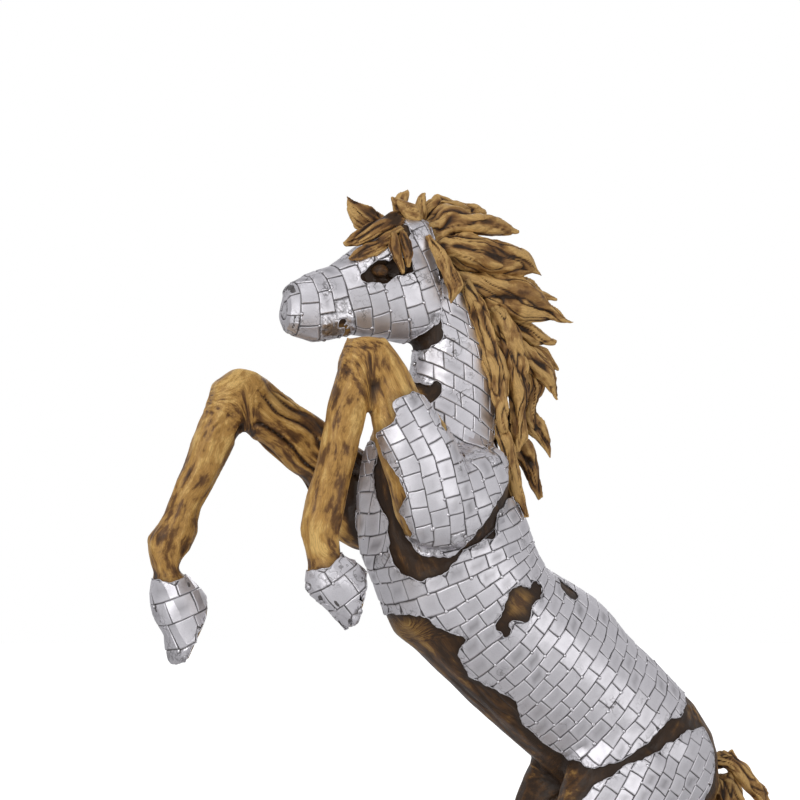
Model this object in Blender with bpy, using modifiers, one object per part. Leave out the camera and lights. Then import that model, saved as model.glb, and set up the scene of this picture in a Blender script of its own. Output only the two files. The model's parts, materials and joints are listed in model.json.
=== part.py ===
"""Rearing horse, carved in wood and clad in steel sheet, with a mane and tail of weathered wood.

Metres, +Z up. The horse faces -X and its left side is at -Y. The origin is the middle of the base's underside.
The pose is given in hundredths of the figure's height, measured from the base's top.
"""
import math

import bmesh
import bpy
import numpy as np
from mathutils import Matrix, Vector
from mathutils.bvhtree import BVHTree

# Driving dimensions
FIGURE_HEIGHT = 2.43
BASE_LENGTH = 1.06
BASE_WIDTH = 0.60
BASE_THICKNESS = 0.07
BASE_EDGE_ROUND = 0.014
BASE_WAVE = 0.010
PLATE_THICKNESS = 0.004
PLATE_GAP = 0.001
FIT_GAP = 0.0005
EYE_RADIUS = 0.019
SOLE_RIM = 0.008

# How finely the carving is resolved
CARVING_GRAIN = 0.009
CARVING_SMOOTHING = 6
BODY_TRIANGLES = 1600
LIMB_SIDES = 20
LIMB_STEPS = 5
LOCK_SIDES = 6
BASE_SIDES = 28
EYE_SIDES = 8
BLUNT_TIP = 0.12
SHORTEST_EDGE = 0.002
FLAT_ANGLE = math.radians(0.2)

SHARE = FIGURE_HEIGHT / 100.0
BASE_TOP = BASE_THICKNESS
SOLE_LEVEL = BASE_TOP + FIT_GAP

# Each station is x, y, z, half the depth in the side view, and half the width across the horse
TRUNK = (
    (-22.8, 0.0, 93.0, 3.4, 2.5),
    (-20.9, 0.0, 88.1, 4.0, 2.9),
    (-19.7, 0.0, 83.2, 4.3, 3.5),
    (-19.7, 0.0, 77.7, 5.4, 4.3),
    (-21.3, 0.0, 72.8, 7.3, 5.6),
    (-21.7, 0.0, 67.9, 8.4, 7.0),
    (-20.9, 0.0, 63.0, 9.2, 7.8),
    (-18.6, 0.0, 58.1, 9.3, 8.2),
    (-15.2, 0.0, 53.6, 8.3, 8.4),
    (-10.3, 0.0, 49.6, 8.6, 8.2),
    (-5.1, 0.0, 45.3, 8.5, 7.8),
    (0.0, 0.0, 41.0, 8.5, 7.6),
    (4.1, 0.0, 36.7, 8.4, 7.2),
    (6.6, 0.0, 33.1, 6.8, 5.8),
    (8.0, 0.0, 30.6, 4.4, 3.7),
)
HEAD = (
    (-38.6, 0.0, 86.4, 2.2, 2.0),
    (-38.3, 0.0, 86.4, 2.6, 2.3),
    (-37.6, 0.0, 86.4, 2.9, 2.5),
    (-36.9, 0.0, 86.4, 3.2, 2.5),
    (-35.9, 0.0, 86.5, 3.6, 2.6),
    (-34.4, 0.0, 87.0, 3.7, 2.6),
    (-32.7, 0.0, 87.5, 3.8, 2.6),
    (-31.3, 0.0, 88.0, 4.3, 2.9),
    (-28.6, 0.0, 88.8, 5.4, 3.5),
    (-26.0, 0.0, 89.5, 6.4, 3.7),
    (-23.8, 0.0, 90.4, 5.9, 3.3),
    (-22.2, 0.0, 91.4, 4.4, 2.5),
)
LEFT_ARM = (
    (-33.3, -7.0, 82.4, 1.3, 1.9),
    (-32.6, -7.0, 81.7, 2.2, 2.3),
    (-31.4, -7.0, 80.6, 2.4, 2.5),
    (-29.9, -7.1, 78.7, 2.3, 2.6),
    (-29.2, -7.2, 76.2, 2.8, 2.8),
    (-27.6, -7.4, 72.8, 4.0, 3.1),
    (-25.9, -7.4, 69.2, 4.2, 3.3),
    (-24.6, -7.3, 65.5, 4.5, 3.3),
    (-24.1, -7.1, 62.8, 3.8, 2.9),
    (-24.0, -6.9, 61.2, 1.9, 2.1),
)
LEFT_CANNON = (
    (-32.6, -7.0, 82.1, 1.8, 2.1),
    (-33.3, -7.0, 80.6, 2.1, 2.2),
    (-34.0, -7.0, 78.7, 2.0, 2.1),
    (-34.3, -7.0, 76.4, 2.1, 2.0),
    (-35.0, -7.0, 73.2, 2.1, 1.9),
    (-35.8, -7.0, 69.5, 2.0, 1.7),
    (-36.5, -7.0, 66.9, 2.1, 1.7),
    (-37.2, -7.0, 64.3, 2.2, 1.8),
    (-37.5, -7.0, 62.7, 2.1, 1.9),
    (-37.3, -7.0, 61.2, 1.8, 1.7),
    (-37.0, -7.0, 59.4, 1.7, 1.6),
    (-36.6, -7.0, 58.2, 1.6, 1.5),
)
LEFT_HOOF = (
    (-36.9, -7.0, 59.3, 2.0, 1.9),
    (-36.4, -7.0, 58.2, 2.7, 2.4),
    (-35.4, -7.0, 57.1, 3.1, 2.7),
    (-33.7, -7.0, 55.4, 3.1, 2.9),
    (-31.7, -7.0, 53.2, 3.0, 3.0),
)
RIGHT_ARM = (
    (-43.0, 7.0, 78.6, 1.5, 1.9),
    (-41.6, 7.0, 77.8, 2.6, 2.2),
    (-39.9, 7.0, 76.7, 3.0, 2.3),
    (-36.7, 7.0, 74.3, 3.2, 2.5),
    (-32.4, 7.0, 71.1, 3.6, 2.7),
    (-29.4, 7.0, 67.7, 4.8, 2.9),
    (-26.9, 6.8, 65.4, 4.8, 3.1),
    (-24.0, 6.6, 64.6, 4.0, 2.9),
)
RIGHT_CANNON = (
    (-41.6, 7.0, 78.6, 1.6, 2.1),
    (-42.3, 7.0, 77.5, 2.6, 2.2),
    (-43.1, 7.0, 75.7, 2.4, 2.1),
    (-43.8, 7.0, 73.8, 2.1, 2.0),
    (-45.4, 7.0, 70.2, 2.0, 1.8),
    (-47.6, 7.0, 66.2, 1.9, 1.6),
    (-49.0, 7.0, 63.1, 2.4, 1.9),
    (-49.6, 7.0, 61.5, 2.6, 1.9),
    (-49.8, 7.0, 59.9, 1.9, 1.6),
    (-49.8, 7.0, 58.6, 1.5, 1.5),
    (-49.7, 7.0, 57.4, 1.5, 1.5),
)
RIGHT_HOOF = (
    (-49.7, 7.0, 57.8, 1.8, 1.9),
    (-49.2, 7.0, 56.5, 2.5, 2.3),
    (-48.5, 7.0, 54.9, 3.1, 2.7),
    (-47.6, 7.0, 52.6, 3.2, 2.9),
    (-46.3, 7.0, 49.7, 3.1, 3.0),
)
POLL = (
    (-26.7, 0.0, 94.0, 1.6, 2.1),
    (-25.7, 0.0, 94.4, 2.5, 2.7),
    (-24.5, 0.0, 94.4, 2.7, 2.9),
    (-23.3, 0.0, 93.8, 2.4, 2.7),
    (-22.3, 0.0, 93.0, 1.8, 2.3),
)
SHOULDER = (
    (-16.9, -4.4, 71.0, 2.0, 2.0),
    (-18.4, -5.1, 69.4, 3.7, 3.1),
    (-20.9, -6.0, 66.4, 4.8, 3.8),
    (-23.0, -6.8, 63.4, 4.2, 3.2),
    (-23.9, -7.0, 61.5, 2.2, 2.0),
)
HIND_LEG = (
    (1.0, -4.1, 37.9, 7.8, 4.1),
    (-2.5, -4.9, 33.2, 6.9, 4.1),
    (-5.0, -5.6, 28.5, 5.1, 3.3),
    (-1.1, -5.6, 23.7, 3.6, 2.3),
    (3.5, -5.6, 20.1, 2.4, 1.6),
    (6.7, -5.6, 17.2, 2.3, 1.5),
    (6.4, -5.6, 13.5, 1.8, 1.3),
    (4.9, -5.6, 8.7, 1.7, 1.3),
    (3.9, -5.6, 5.4, 2.0, 1.5),
    (2.7, -5.6, 3.3, 1.8, 1.4),
)
HIND_HOOF = (
    (2.9, -5.6, 3.8, 1.7, 1.6),
    (2.0, -5.6, 2.2, 2.6, 2.3),
    (0.9, -5.6, -0.2, 3.4, 2.9),
)

# Each front hoof's sole runs across the horse between these two x, z stations
LEFT_SOLE_HEEL = (-32.6, 58.8)
LEFT_SOLE_TOE = (-34.2, 52.4)
RIGHT_SOLE_HEEL = (-44.8, 56.7)
RIGHT_SOLE_TOE = (-48.5, 47.9)

# Each eye: its middle at x, y, z, and half the length, width and height of the socket
EYE_PLACE = (-29.0, 3.05, 90.3)
SOCKET_REACH = (2.3, 1.0, 1.25)
SOCKET_OUT = 0.75

# Where steel lies: x, z outlines in the side view. A plate's edge that wraps round the horse runs on past it.
HEAD_PLATE = (
    (-26.5, 99.0), (-23.4, 98.5), (-22.9, 94.0), (-22.2, 89.0), (-22.3, 85.5), (-23.6, 84.7), (-25.3, 83.4),
    (-26.0, 81.5), (-42.0, 81.5), (-42.0, 96.0),
)
EAR_HOLLOW = ((-26.6, 96.6), (-25.6, 96.0), (-25.2, 94.3), (-26.3, 93.9), (-27.0, 95.0))
EYE_HOLE = (
    (-31.3, 89.7), (-29.3, 91.3), (-27.8, 91.7), (-26.5, 91.0), (-26.9, 90.1), (-28.5, 89.1), (-30.2, 89.1),
)
MOUTH_CORNER = ((-33.0, 83.6), (-32.9, 84.7), (-32.5, 85.2), (-31.9, 84.4), (-31.9, 83.6))
NECK_PLATE = (
    (-21.9, 90.2), (-20.3, 90.1), (-18.9, 87.5), (-17.5, 84.3), (-15.8, 81.0), (-16.4, 79.0), (-16.1, 76.0),
    (-16.3, 72.9), (-18.5, 71.8), (-21.4, 71.0), (-23.1, 71.3), (-24.5, 73.2), (-25.2, 75.0), (-23.2, 76.7),
    (-22.0, 78.3), (-22.7, 79.4), (-23.4, 78.5), (-24.4, 78.9), (-27.0, 79.2), (-27.0, 82.4), (-23.1, 82.4),
    (-21.6, 83.7), (-21.9, 85.4),
)
LEFT_SHOULDER_PLATE = (
    (-30.3, 76.0), (-28.3, 77.0), (-26.9, 76.8), (-25.5, 74.9), (-24.8, 73.0), (-23.4, 71.0), (-23.0, 68.8),
    (-21.6, 68.8), (-20.9, 70.7), (-18.4, 71.5), (-16.5, 72.4), (-15.9, 70.4), (-16.6, 68.0), (-19.4, 64.7),
    (-21.2, 62.5), (-23.0, 60.1), (-25.5, 60.2), (-26.8, 61.0), (-29.0, 64.9), (-28.6, 66.3), (-29.3, 68.1),
    (-30.8, 70.6), (-31.4, 72.8), (-30.1, 74.0),
)
ARM_INSIDE = ((-34.0, 79.0), (-24.6, 79.0), (-23.6, 72.0), (-22.0, 66.0), (-22.0, 58.0), (-34.0, 58.0))
RIGHT_SHOULDER_PLATE = (
    (-24.2, 71.3), (-23.0, 69.7), (-20.4, 70.5), (-18.2, 71.4), (-16.8, 69.0), (-17.2, 67.0), (-20.6, 63.3),
    (-23.2, 60.3), (-24.8, 60.9), (-25.2, 64.0), (-24.8, 67.0),
)
BARREL_PLATE = (
    (-33.5, 72.3), (-28.9, 72.3), (-29.5, 69.0), (-29.6, 66.5), (-28.8, 64.0), (-28.4, 60.0), (-27.2, 57.9),
    (-25.7, 57.4), (-23.3, 58.3), (-21.5, 60.7), (-19.7, 61.8), (-17.9, 62.0), (-18.0, 64.6), (-16.2, 66.1),
    (-11.0, 67.0), (3.0, 54.5), (8.4, 46.2), (4.7, 42.8), (2.6, 42.4), (0.0, 40.0), (-3.5, 38.2), (-6.2, 37.4),
    (-10.3, 40.1), (-13.0, 42.3), (-14.4, 44.8), (-19.2, 47.4), (-20.8, 49.6), (-20.6, 51.8), (-23.0, 52.4),
    (-24.8, 53.9), (-27.1, 54.2), (-33.5, 54.4),
)
FLANK_HOLE = (
    (-17.0, 56.2), (-15.2, 57.3), (-13.9, 56.7), (-13.2, 57.3), (-12.3, 56.5), (-13.6, 55.0), (-14.1, 53.5),
    (-16.2, 53.1), (-17.4, 51.9), (-18.1, 52.8), (-17.3, 54.4),
)
BACK_SLOT = ((-9.2, 58.2), (-6.7, 56.2), (-6.9, 55.4), (-8.4, 55.4), (-9.2, 56.5))
LEFT_ARM_ROOM = ((-34.0, 75.0), (-22.0, 73.0), (-21.5, 62.5), (-25.5, 59.0), (-34.0, 61.0))
RIGHT_ARM_ROOM = ((-34.0, 75.0), (-13.0, 73.0), (-15.6, 66.5), (-18.4, 60.5), (-25.5, 58.6), (-34.0, 61.0))
HAUNCH_PLATE = (
    (-6.6, 35.4), (-2.0, 37.8), (1.6, 39.0), (5.2, 41.0), (8.4, 41.2), (10.4, 37.5), (7.8, 33.4), (7.4, 30.4),
    (4.0, 29.4), (0.4, 25.6), (-2.8, 26.2), (-6.0, 24.4), (-10.2, 28.0), (-8.8, 32.6),
)
LEFT_HOOF_PLATE = (
    (-41.0, 57.0), (-38.9, 58.2), (-37.2, 58.8), (-35.6, 60.0), (-33.0, 61.2), (-29.0, 60.0), (-29.0, 49.0),
    (-36.0, 49.0), (-41.0, 54.0),
)
RIGHT_HOOF_PLATE = (
    (-54.0, 57.4), (-51.3, 57.5), (-49.7, 57.1), (-46.5, 58.4), (-42.0, 59.0), (-42.0, 46.0), (-54.0, 46.0),
)
HIND_HOOF_PLATE = ((-4.0, -1.0), (-4.0, 2.4), (0.6, 3.9), (4.6, 3.6), (7.0, 3.0), (7.0, -1.0))

# How far across the horse each plate and each hole in it may reach, from one y station to another
HEAD_SPAN = (-4.4, 4.4)
LEFT_EAR_SPAN = (-4.4, -0.9)
RIGHT_EAR_SPAN = (0.9, 4.4)
NECK_SPAN = (-6.2, 6.2)
ACROSS = (-12.0, 12.0)
LEFT_SHOULDER_SPAN = (-12.0, -2.6)
ARM_INSIDE_SPAN = (-6.0, 0.0)
RIGHT_SHOULDER_SPAN = (5.0, 12.0)
LEFT_ARM_SPAN = (-12.0, -4.2)
RIGHT_ARM_SPAN = (3.8, 12.0)
LEFT_HAUNCH_SPAN = (-12.0, -4.8)
RIGHT_HAUNCH_SPAN = (4.8, 12.0)
LEFT_HOOF_SPAN = (-11.0, -3.0)
RIGHT_HOOF_SPAN = (3.0, 11.0)

# Pieces of weathered wood. Each is cut to fit the pieces before it, the body and its plates.
LOCKS = {
    "forelock_long": (
        (-24.9, -1.1, 95.6, 0.8, 0.8), (-26.6, -1.3, 96.4, 1.1, 0.9), (-29.6, -1.6, 95.0, 1.2, 0.8),
        (-31.6, -1.7, 93.9, 0.9, 0.6), (-32.8, -1.7, 93.4, 0.3, 0.3),
    ),
    "forelock_low": (
        (-26.3, -2.4, 95.0, 0.8, 0.7), (-27.7, -2.6, 94.1, 1.0, 0.7), (-29.8, -2.6, 92.9, 1.0, 0.7),
        (-31.5, -2.3, 92.2, 0.7, 0.5), (-32.5, -2.0, 91.8, 0.2, 0.2),
    ),
    "ear_right": (
        (-26.2, 1.9, 95.2, 1.0, 0.6), (-27.4, 2.1, 96.1, 1.5, 0.6), (-29.0, 2.4, 97.1, 1.6, 0.5),
        (-30.3, 2.5, 98.4, 0.8, 0.3), (-31.0, 2.5, 99.4, 0.1, 0.1),
    ),
    "temple_lock_front": (
        (-27.7, -3.0, 94.8, 0.4, 0.5), (-27.9, -3.8, 93.3, 0.7, 0.5), (-27.7, -4.4, 91.8, 0.6, 0.5),
        (-27.2, -4.6, 90.2, 0.2, 0.3),
    ),
    "temple_lock_rear": (
        (-26.8, -2.9, 95.0, 0.4, 0.5), (-26.5, -3.8, 93.6, 0.6, 0.5), (-26.4, -4.4, 92.3, 0.6, 0.5),
        (-26.6, -4.6, 90.9, 0.2, 0.3),
    ),
    "crest_leaf_front": (
        (-23.9, -1.0, 95.6, 1.0, 0.7), (-25.0, -1.2, 97.3, 1.1, 0.7), (-26.2, -1.2, 98.0, 0.8, 0.5),
        (-27.3, -1.2, 99.0, 0.1, 0.2),
    ),
    "crest_horn_front": (
        (-24.7, 0.8, 96.2, 0.8, 0.7), (-25.4, 0.8, 98.6, 0.8, 0.6), (-25.0, 0.8, 99.5, 0.6, 0.4),
        (-24.4, 0.8, 100.2, 0.1, 0.2),
    ),
    "crest_horn_rear": (
        (-23.4, 0.4, 95.8, 0.9, 0.7), (-23.2, 0.4, 98.3, 0.7, 0.5), (-23.0, 0.4, 99.2, 0.5, 0.4),
        (-22.7, 0.4, 99.9, 0.2, 0.2),
    ),
    "mane_side_leaf": (
        (-23.7, -2.9, 94.7, 0.4, 0.6), (-22.7, -3.6, 92.8, 0.8, 0.5), (-21.8, -4.1, 90.7, 1.0, 0.5),
        (-21.2, -4.4, 89.3, 1.1, 0.5), (-21.6, -4.5, 87.2, 0.1, 0.2),
    ),
    "mane_high": (
        (-22.8, -1.7, 93.5, 1.3, 1.1), (-19.4, -2.2, 93.3, 2.1, 1.3), (-15.7, -2.4, 92.8, 2.0, 1.2),
        (-12.5, -2.4, 92.0, 1.3, 0.8), (-9.8, -2.3, 90.8, 0.1, 0.2),
    ),
    "mane_top_lower": (
        (-23.4, -0.7, 94.9, 1.1, 1.0), (-20.5, -1.0, 96.6, 1.5, 1.2), (-17.5, -1.2, 96.7, 1.4, 1.1),
        (-14.6, -1.3, 96.3, 0.9, 0.7), (-12.2, -1.3, 95.8, 0.1, 0.2),
    ),
    "mane_top_upper": (
        (-23.2, 1.3, 95.9, 1.2, 0.9), (-20.3, 1.5, 98.6, 1.2, 1.1), (-18.1, 1.6, 98.7, 1.0, 1.0),
        (-16.2, 1.6, 98.7, 0.6, 0.7), (-14.7, 1.6, 98.2, 0.2, 0.2),
    ),
    "mane_broad": (
        (-20.4, -2.0, 90.3, 1.3, 1.1), (-16.1, -2.4, 88.9, 2.2, 1.3), (-12.3, -2.5, 88.0, 2.3, 1.2),
        (-9.4, -2.4, 87.0, 1.2, 0.7), (-5.9, -2.3, 86.3, 0.1, 0.2),
    ),
    "mane_strand_front": (
        (-19.5, -3.0, 90.0, 0.8, 0.8), (-18.2, -3.3, 87.3, 1.2, 0.9), (-16.8, -3.6, 83.5, 1.2, 1.0),
        (-15.8, -3.9, 79.7, 1.1, 0.9), (-15.5, -4.2, 75.9, 0.9, 0.7), (-15.3, -4.2, 73.5, 0.3, 0.3),
    ),
    "mane_blade": (
        (-16.6, -1.6, 84.6, 1.0, 0.9), (-14.1, -1.9, 83.3, 1.3, 0.9), (-11.2, -2.1, 81.9, 1.7, 1.0),
        (-9.0, -2.1, 80.2, 1.1, 0.7), (-7.7, -2.1, 77.3, 0.1, 0.2),
    ),
    "mane_strand_middle": (
        (-17.6, -2.0, 88.6, 0.8, 0.9), (-15.3, -2.5, 87.2, 0.9, 0.9), (-14.3, -2.8, 84.3, 1.5, 1.1),
        (-13.2, -3.0, 80.4, 1.6, 1.2), (-12.8, -3.2, 76.6, 1.6, 1.2), (-13.0, -3.2, 73.3, 1.0, 0.8),
        (-13.3, -3.1, 71.5, 0.3, 0.3),
    ),
    "mane_tail_end": (
        (-15.6, -2.9, 74.9, 0.7, 0.7), (-14.9, -3.5, 73.0, 0.9, 0.8), (-14.5, -4.1, 70.0, 0.9, 0.7),
        (-13.9, -4.4, 67.1, 0.8, 0.7), (-12.8, -4.8, 64.3, 0.3, 0.3),
    ),
    "mane_thorn": (
        (-18.4, -0.5, 90.0, 1.2, 0.8), (-14.6, -0.5, 90.0, 1.3, 0.8), (-11.6, -0.4, 89.6, 1.1, 0.7),
        (-9.4, -0.4, 89.2, 0.8, 0.6), (-7.1, -0.4, 88.7, 0.2, 0.2),
    ),
    "mane_hook": (
        (-17.6, -0.9, 87.2, 1.1, 0.9), (-15.3, -1.1, 86.2, 1.2, 0.9), (-12.5, -1.3, 85.4, 1.2, 0.9),
        (-9.9, -1.4, 84.4, 0.9, 0.7), (-7.6, -1.4, 83.8, 0.3, 0.3),
    ),
    "mane_spur": (
        (-16.8, -0.3, 85.0, 1.2, 0.8), (-14.0, -0.4, 84.3, 1.2, 0.8), (-11.4, -0.5, 83.5, 1.3, 0.8),
        (-8.9, -0.5, 82.4, 0.9, 0.6), (-6.9, -0.5, 80.8, 0.2, 0.2),
    ),
    "mane_strand_back": (
        (-15.8, -0.6, 83.4, 1.0, 0.9), (-13.2, -0.7, 82.4, 1.2, 0.9), (-11.4, -0.9, 80.6, 1.4, 1.0),
        (-10.5, -1.1, 78.6, 1.6, 1.1), (-10.3, -1.2, 76.5, 1.3, 1.0), (-9.2, -1.2, 73.9, 1.0, 0.7),
        (-8.3, -1.2, 70.9, 0.2, 0.2),
    ),
    "mane_root": (
        (-15.6, -1.0, 77.0, 1.2, 1.0), (-13.6, -1.1, 75.0, 1.4, 1.1), (-12.1, -1.4, 72.4, 1.5, 1.0),
        (-10.8, -1.5, 69.6, 1.0, 0.7), (-9.6, -1.5, 66.5, 0.4, 0.4),
    ),
    "mane_high_right": (
        (-22.6, 1.7, 93.4, 1.3, 1.1), (-19.2, 2.2, 92.8, 2.0, 1.2), (-15.9, 2.4, 91.6, 1.8, 1.1),
        (-13.2, 2.4, 90.0, 1.1, 0.7), (-11.4, 2.3, 88.2, 0.1, 0.2),
    ),
    "mane_broad_right": (
        (-20.2, 2.0, 89.8, 1.2, 1.1), (-16.6, 2.4, 87.4, 2.1, 1.2), (-13.6, 2.5, 85.0, 2.0, 1.1),
        (-11.4, 2.4, 82.6, 1.1, 0.7), (-9.8, 2.3, 80.2, 0.1, 0.2),
    ),
    "mane_strand_right": (
        (-17.6, 2.4, 84.8, 1.1, 1.0), (-15.2, 2.7, 81.6, 1.5, 1.1), (-13.8, 2.9, 77.8, 1.6, 1.1),
        (-13.4, 3.0, 73.8, 1.2, 0.9), (-13.6, 3.0, 70.0, 0.2, 0.2),
    ),
    "tail_long": (
        (9.4, 0.0, 35.4, 1.4, 1.4), (13.0, 0.0, 34.4, 2.0, 1.8), (16.2, 0.0, 28.5, 2.4, 2.0),
        (17.8, 0.0, 20.5, 2.0, 1.8), (18.6, 0.0, 13.0, 1.2, 1.1), (20.0, 0.0, 7.0, 0.2, 0.2),
    ),
    "tail_left": (
        (9.6, -0.9, 33.6, 1.2, 1.0), (12.6, -1.8, 30.4, 1.5, 1.2), (14.2, -2.4, 23.5, 1.5, 1.1),
        (14.2, -2.6, 16.0, 1.0, 0.8), (13.2, -2.2, 10.5, 0.2, 0.2),
    ),
    "tail_right": (
        (9.8, 0.9, 34.2, 1.2, 1.0), (13.6, 1.9, 31.4, 1.5, 1.2), (16.0, 2.5, 24.4, 1.5, 1.1),
        (16.6, 2.6, 17.0, 0.9, 0.8), (15.8, 2.2, 11.5, 0.2, 0.2),
    ),
    "tail_top": (
        (10.4, 0.2, 37.0, 1.0, 0.9), (14.4, 0.2, 37.4, 1.3, 1.0), (18.2, 0.3, 33.6, 1.1, 0.8),
        (20.6, 0.3, 29.0, 0.2, 0.2),
    ),
}


def place(x, y, z):
    """The point at these hundredths of the figure's height, from the base's top."""
    return Vector((x * SHARE, y * SHARE, BASE_TOP + z * SHARE))


def smooth_stations(stations, steps):
    """The stations with more between them, along a Catmull-Rom curve through each of their numbers."""
    rows = np.array(stations, float)
    padded = np.vstack([2 * rows[0] - rows[1], rows, 2 * rows[-1] - rows[-2]])
    smooth = []
    for before, start, end, after in zip(padded, padded[1:], padded[2:], padded[3:]):
        for step in range(steps):
            t = step / steps
            linear = (end - before) * t
            square = (2 * before - 5 * start + 4 * end - after) * t ** 2
            cube = (3 * start - before - 3 * end + after) * t ** 3
            smooth.append((2 * start + linear + square + cube) / 2)
    smooth.append(rows[-1])
    return np.array(smooth)


def powered(value, power):
    """The value's size raised to the power, with its sign kept."""
    return math.copysign(abs(value) ** power, value)


def finish_bmesh(name, bm):
    """A new object in the scene that holds the bmesh."""
    mesh = bpy.data.meshes.new(name)
    bm.to_mesh(mesh)
    bm.free()
    made = bpy.data.objects.new(name, mesh)
    bpy.context.scene.collection.objects.link(made)
    return made


def loft(name, stations, sides, steps, squareness=2.0, mirrored=False):
    """A limb or lock: sections across a curved path, closed at both ends."""
    rows = smooth_stations(stations, steps)
    if mirrored:
        rows[:, 1] *= -1
    centres = [place(x, y, z) for x, y, z in rows[:, :3]]
    bm = bmesh.new()
    rings = []
    for i, centre in enumerate(centres):
        ahead = centres[min(i + 1, len(centres) - 1)] - centres[max(i - 1, 0)]
        ahead.normalize()
        across = Vector((0, 1, 0)) - ahead * ahead.y
        across.normalize()
        up = across.cross(ahead)
        depth, width = np.maximum(rows[i, 3:5], BLUNT_TIP) * SHARE
        ring = []
        for k in range(sides):
            angle = 2 * math.pi * k / sides
            out = powered(math.cos(angle), 2 / squareness) * depth
            side = powered(math.sin(angle), 2 / squareness) * width
            ring.append(bm.verts.new(centre + up * out + across * side))
        rings.append(ring)
    for first, second in zip(rings, rings[1:]):
        for k in range(sides):
            bm.faces.new((first[k], first[k - 1], second[k - 1], second[k]))
    bm.faces.new(rings[0])
    bm.faces.new(reversed(rings[-1]))
    bmesh.ops.triangulate(bm, faces=bm.faces)
    bmesh.ops.recalc_face_normals(bm, faces=bm.faces)
    return finish_bmesh(name, bm)


def prism(name, outline, span):
    """A block with this x, z outline that reaches across the horse from one y station to another."""
    bm = bmesh.new()
    low, high = span
    corners = [bm.verts.new(place(x, low, z)) for x, z in outline]
    face = bm.faces.new(corners)
    grown = bmesh.ops.extrude_face_region(bm, geom=[face])
    moved = [item for item in grown["geom"] if isinstance(item, bmesh.types.BMVert)]
    bmesh.ops.translate(bm, verts=moved, vec=Vector((0, (high - low) * SHARE, 0)))
    bmesh.ops.recalc_face_normals(bm, faces=bm.faces)
    return finish_bmesh(name, bm)


def ellipsoid(name, middle, reach, sides):
    """A round body, twice as many sides round as from pole to pole."""
    bm = bmesh.new()
    bmesh.ops.create_uvsphere(bm, u_segments=sides, v_segments=sides // 2 + 1, radius=1.0)
    bmesh.ops.scale(bm, vec=reach, verts=bm.verts)
    bmesh.ops.rotate(bm, verts=bm.verts, cent=(0, 0, 0), matrix=Matrix.Rotation(math.pi / 2, 3, "X"))
    bmesh.ops.translate(bm, vec=middle, verts=bm.verts)
    return finish_bmesh(name, bm)


def bake(made, flatten=False):
    """Replace the object's mesh by what its modifiers make of it, in triangles, flat parts in fewer."""
    bpy.context.view_layer.update()
    evaluated = made.evaluated_get(bpy.context.evaluated_depsgraph_get())
    mesh = bpy.data.meshes.new_from_object(evaluated)
    made.modifiers.clear()
    old = made.data
    made.data = mesh
    bpy.data.meshes.remove(old)
    bm = bmesh.new()
    bm.from_mesh(mesh)
    if flatten:
        bmesh.ops.dissolve_limit(bm, angle_limit=FLAT_ANGLE, verts=bm.verts, edges=bm.edges)
    bmesh.ops.triangulate(bm, faces=bm.faces)
    bm.to_mesh(mesh)
    bm.free()


def boolean(made, cutter, operation):
    """Cut, join or clip the object by another, for good."""
    modifier = made.modifiers.new(operation.title(), "BOOLEAN")
    modifier.operation = operation
    modifier.solver = "EXACT"
    modifier.use_self = True
    modifier.object = cutter
    bake(made, flatten=True)


def remove(helper):
    """Take a helper out of the scene."""
    bpy.data.objects.remove(helper)


def cut_by(made, helper, operation="DIFFERENCE"):
    """Cut the object by a helper that is then removed."""
    boolean(made, helper, operation)
    remove(helper)


def swollen(made, distance, name):
    """A copy of the object with its surface moved out evenly by this distance."""
    bm = bmesh.new()
    bm.from_mesh(made.data)
    bmesh.ops.dissolve_degenerate(bm, edges=bm.edges, dist=FIT_GAP / 2)
    bm.normal_update()
    moves = [vert.normal * distance * min(vert.calc_shell_factor(), 2.0) for vert in bm.verts]
    for vert, move in zip(bm.verts, moves):
        vert.co += move
    return finish_bmesh(name, bm)


def joined(name, pieces):
    """One object that holds the surfaces of all the pieces, which are removed."""
    bm = bmesh.new()
    for piece in pieces:
        bm.from_mesh(piece.data)
        remove(piece)
    return finish_bmesh(name, bm)


def triangle_count(made):
    """How many triangles the object's mesh makes."""
    return sum(len(face.vertices) - 2 for face in made.data.polygons)


def carved(name, pieces, triangles):
    """The pieces fused as one carving, smoothed, and drawn with about this many triangles."""
    made = joined(name, pieces)
    fuse = made.modifiers.new("Fuse", "REMESH")
    fuse.mode = "VOXEL"
    fuse.voxel_size = CARVING_GRAIN
    smooth = made.modifiers.new("Smooth", "SMOOTH")
    smooth.factor = 0.5
    smooth.iterations = CARVING_SMOOTHING
    bake(made)
    thin = made.modifiers.new("Thin", "DECIMATE")
    thin.ratio = triangles / triangle_count(made)
    bake(made)
    return made


def cut_off(made, point, outward):
    """Cut away what lies beyond a plane, and close the object there with a flat face."""
    bm = bmesh.new()
    bm.from_mesh(made.data)
    every = bm.verts[:] + bm.edges[:] + bm.faces[:]
    bmesh.ops.bisect_plane(bm, geom=every, plane_co=point, plane_no=outward, clear_outer=True)
    bmesh.ops.holes_fill(bm, edges=[edge for edge in bm.edges if edge.is_boundary])
    bmesh.ops.triangulate(bm, faces=bm.faces)
    bmesh.ops.recalc_face_normals(bm, faces=bm.faces)
    bm.to_mesh(made.data)
    bm.free()


def keep_largest(made):
    """Leave only the largest of the bodies that a cut has parted."""
    bm = bmesh.new()
    bm.from_mesh(made.data)
    unseen = set(bm.faces)
    bodies = []
    while unseen:
        body = {unseen.pop()}
        edge_of_search = list(body)
        while edge_of_search:
            face = edge_of_search.pop()
            for edge in face.edges:
                for near in edge.link_faces:
                    if near in unseen:
                        unseen.remove(near)
                        body.add(near)
                        edge_of_search.append(near)
        bodies.append(body)
    if len(bodies) > 1:
        bodies.sort(key=lambda body: sum(face.calc_area() for face in body))
        spare = [face for body in bodies[:-1] for face in body]
        bmesh.ops.delete(bm, geom=spare, context="FACES")
        bm.to_mesh(made.data)
    bm.free()


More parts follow.
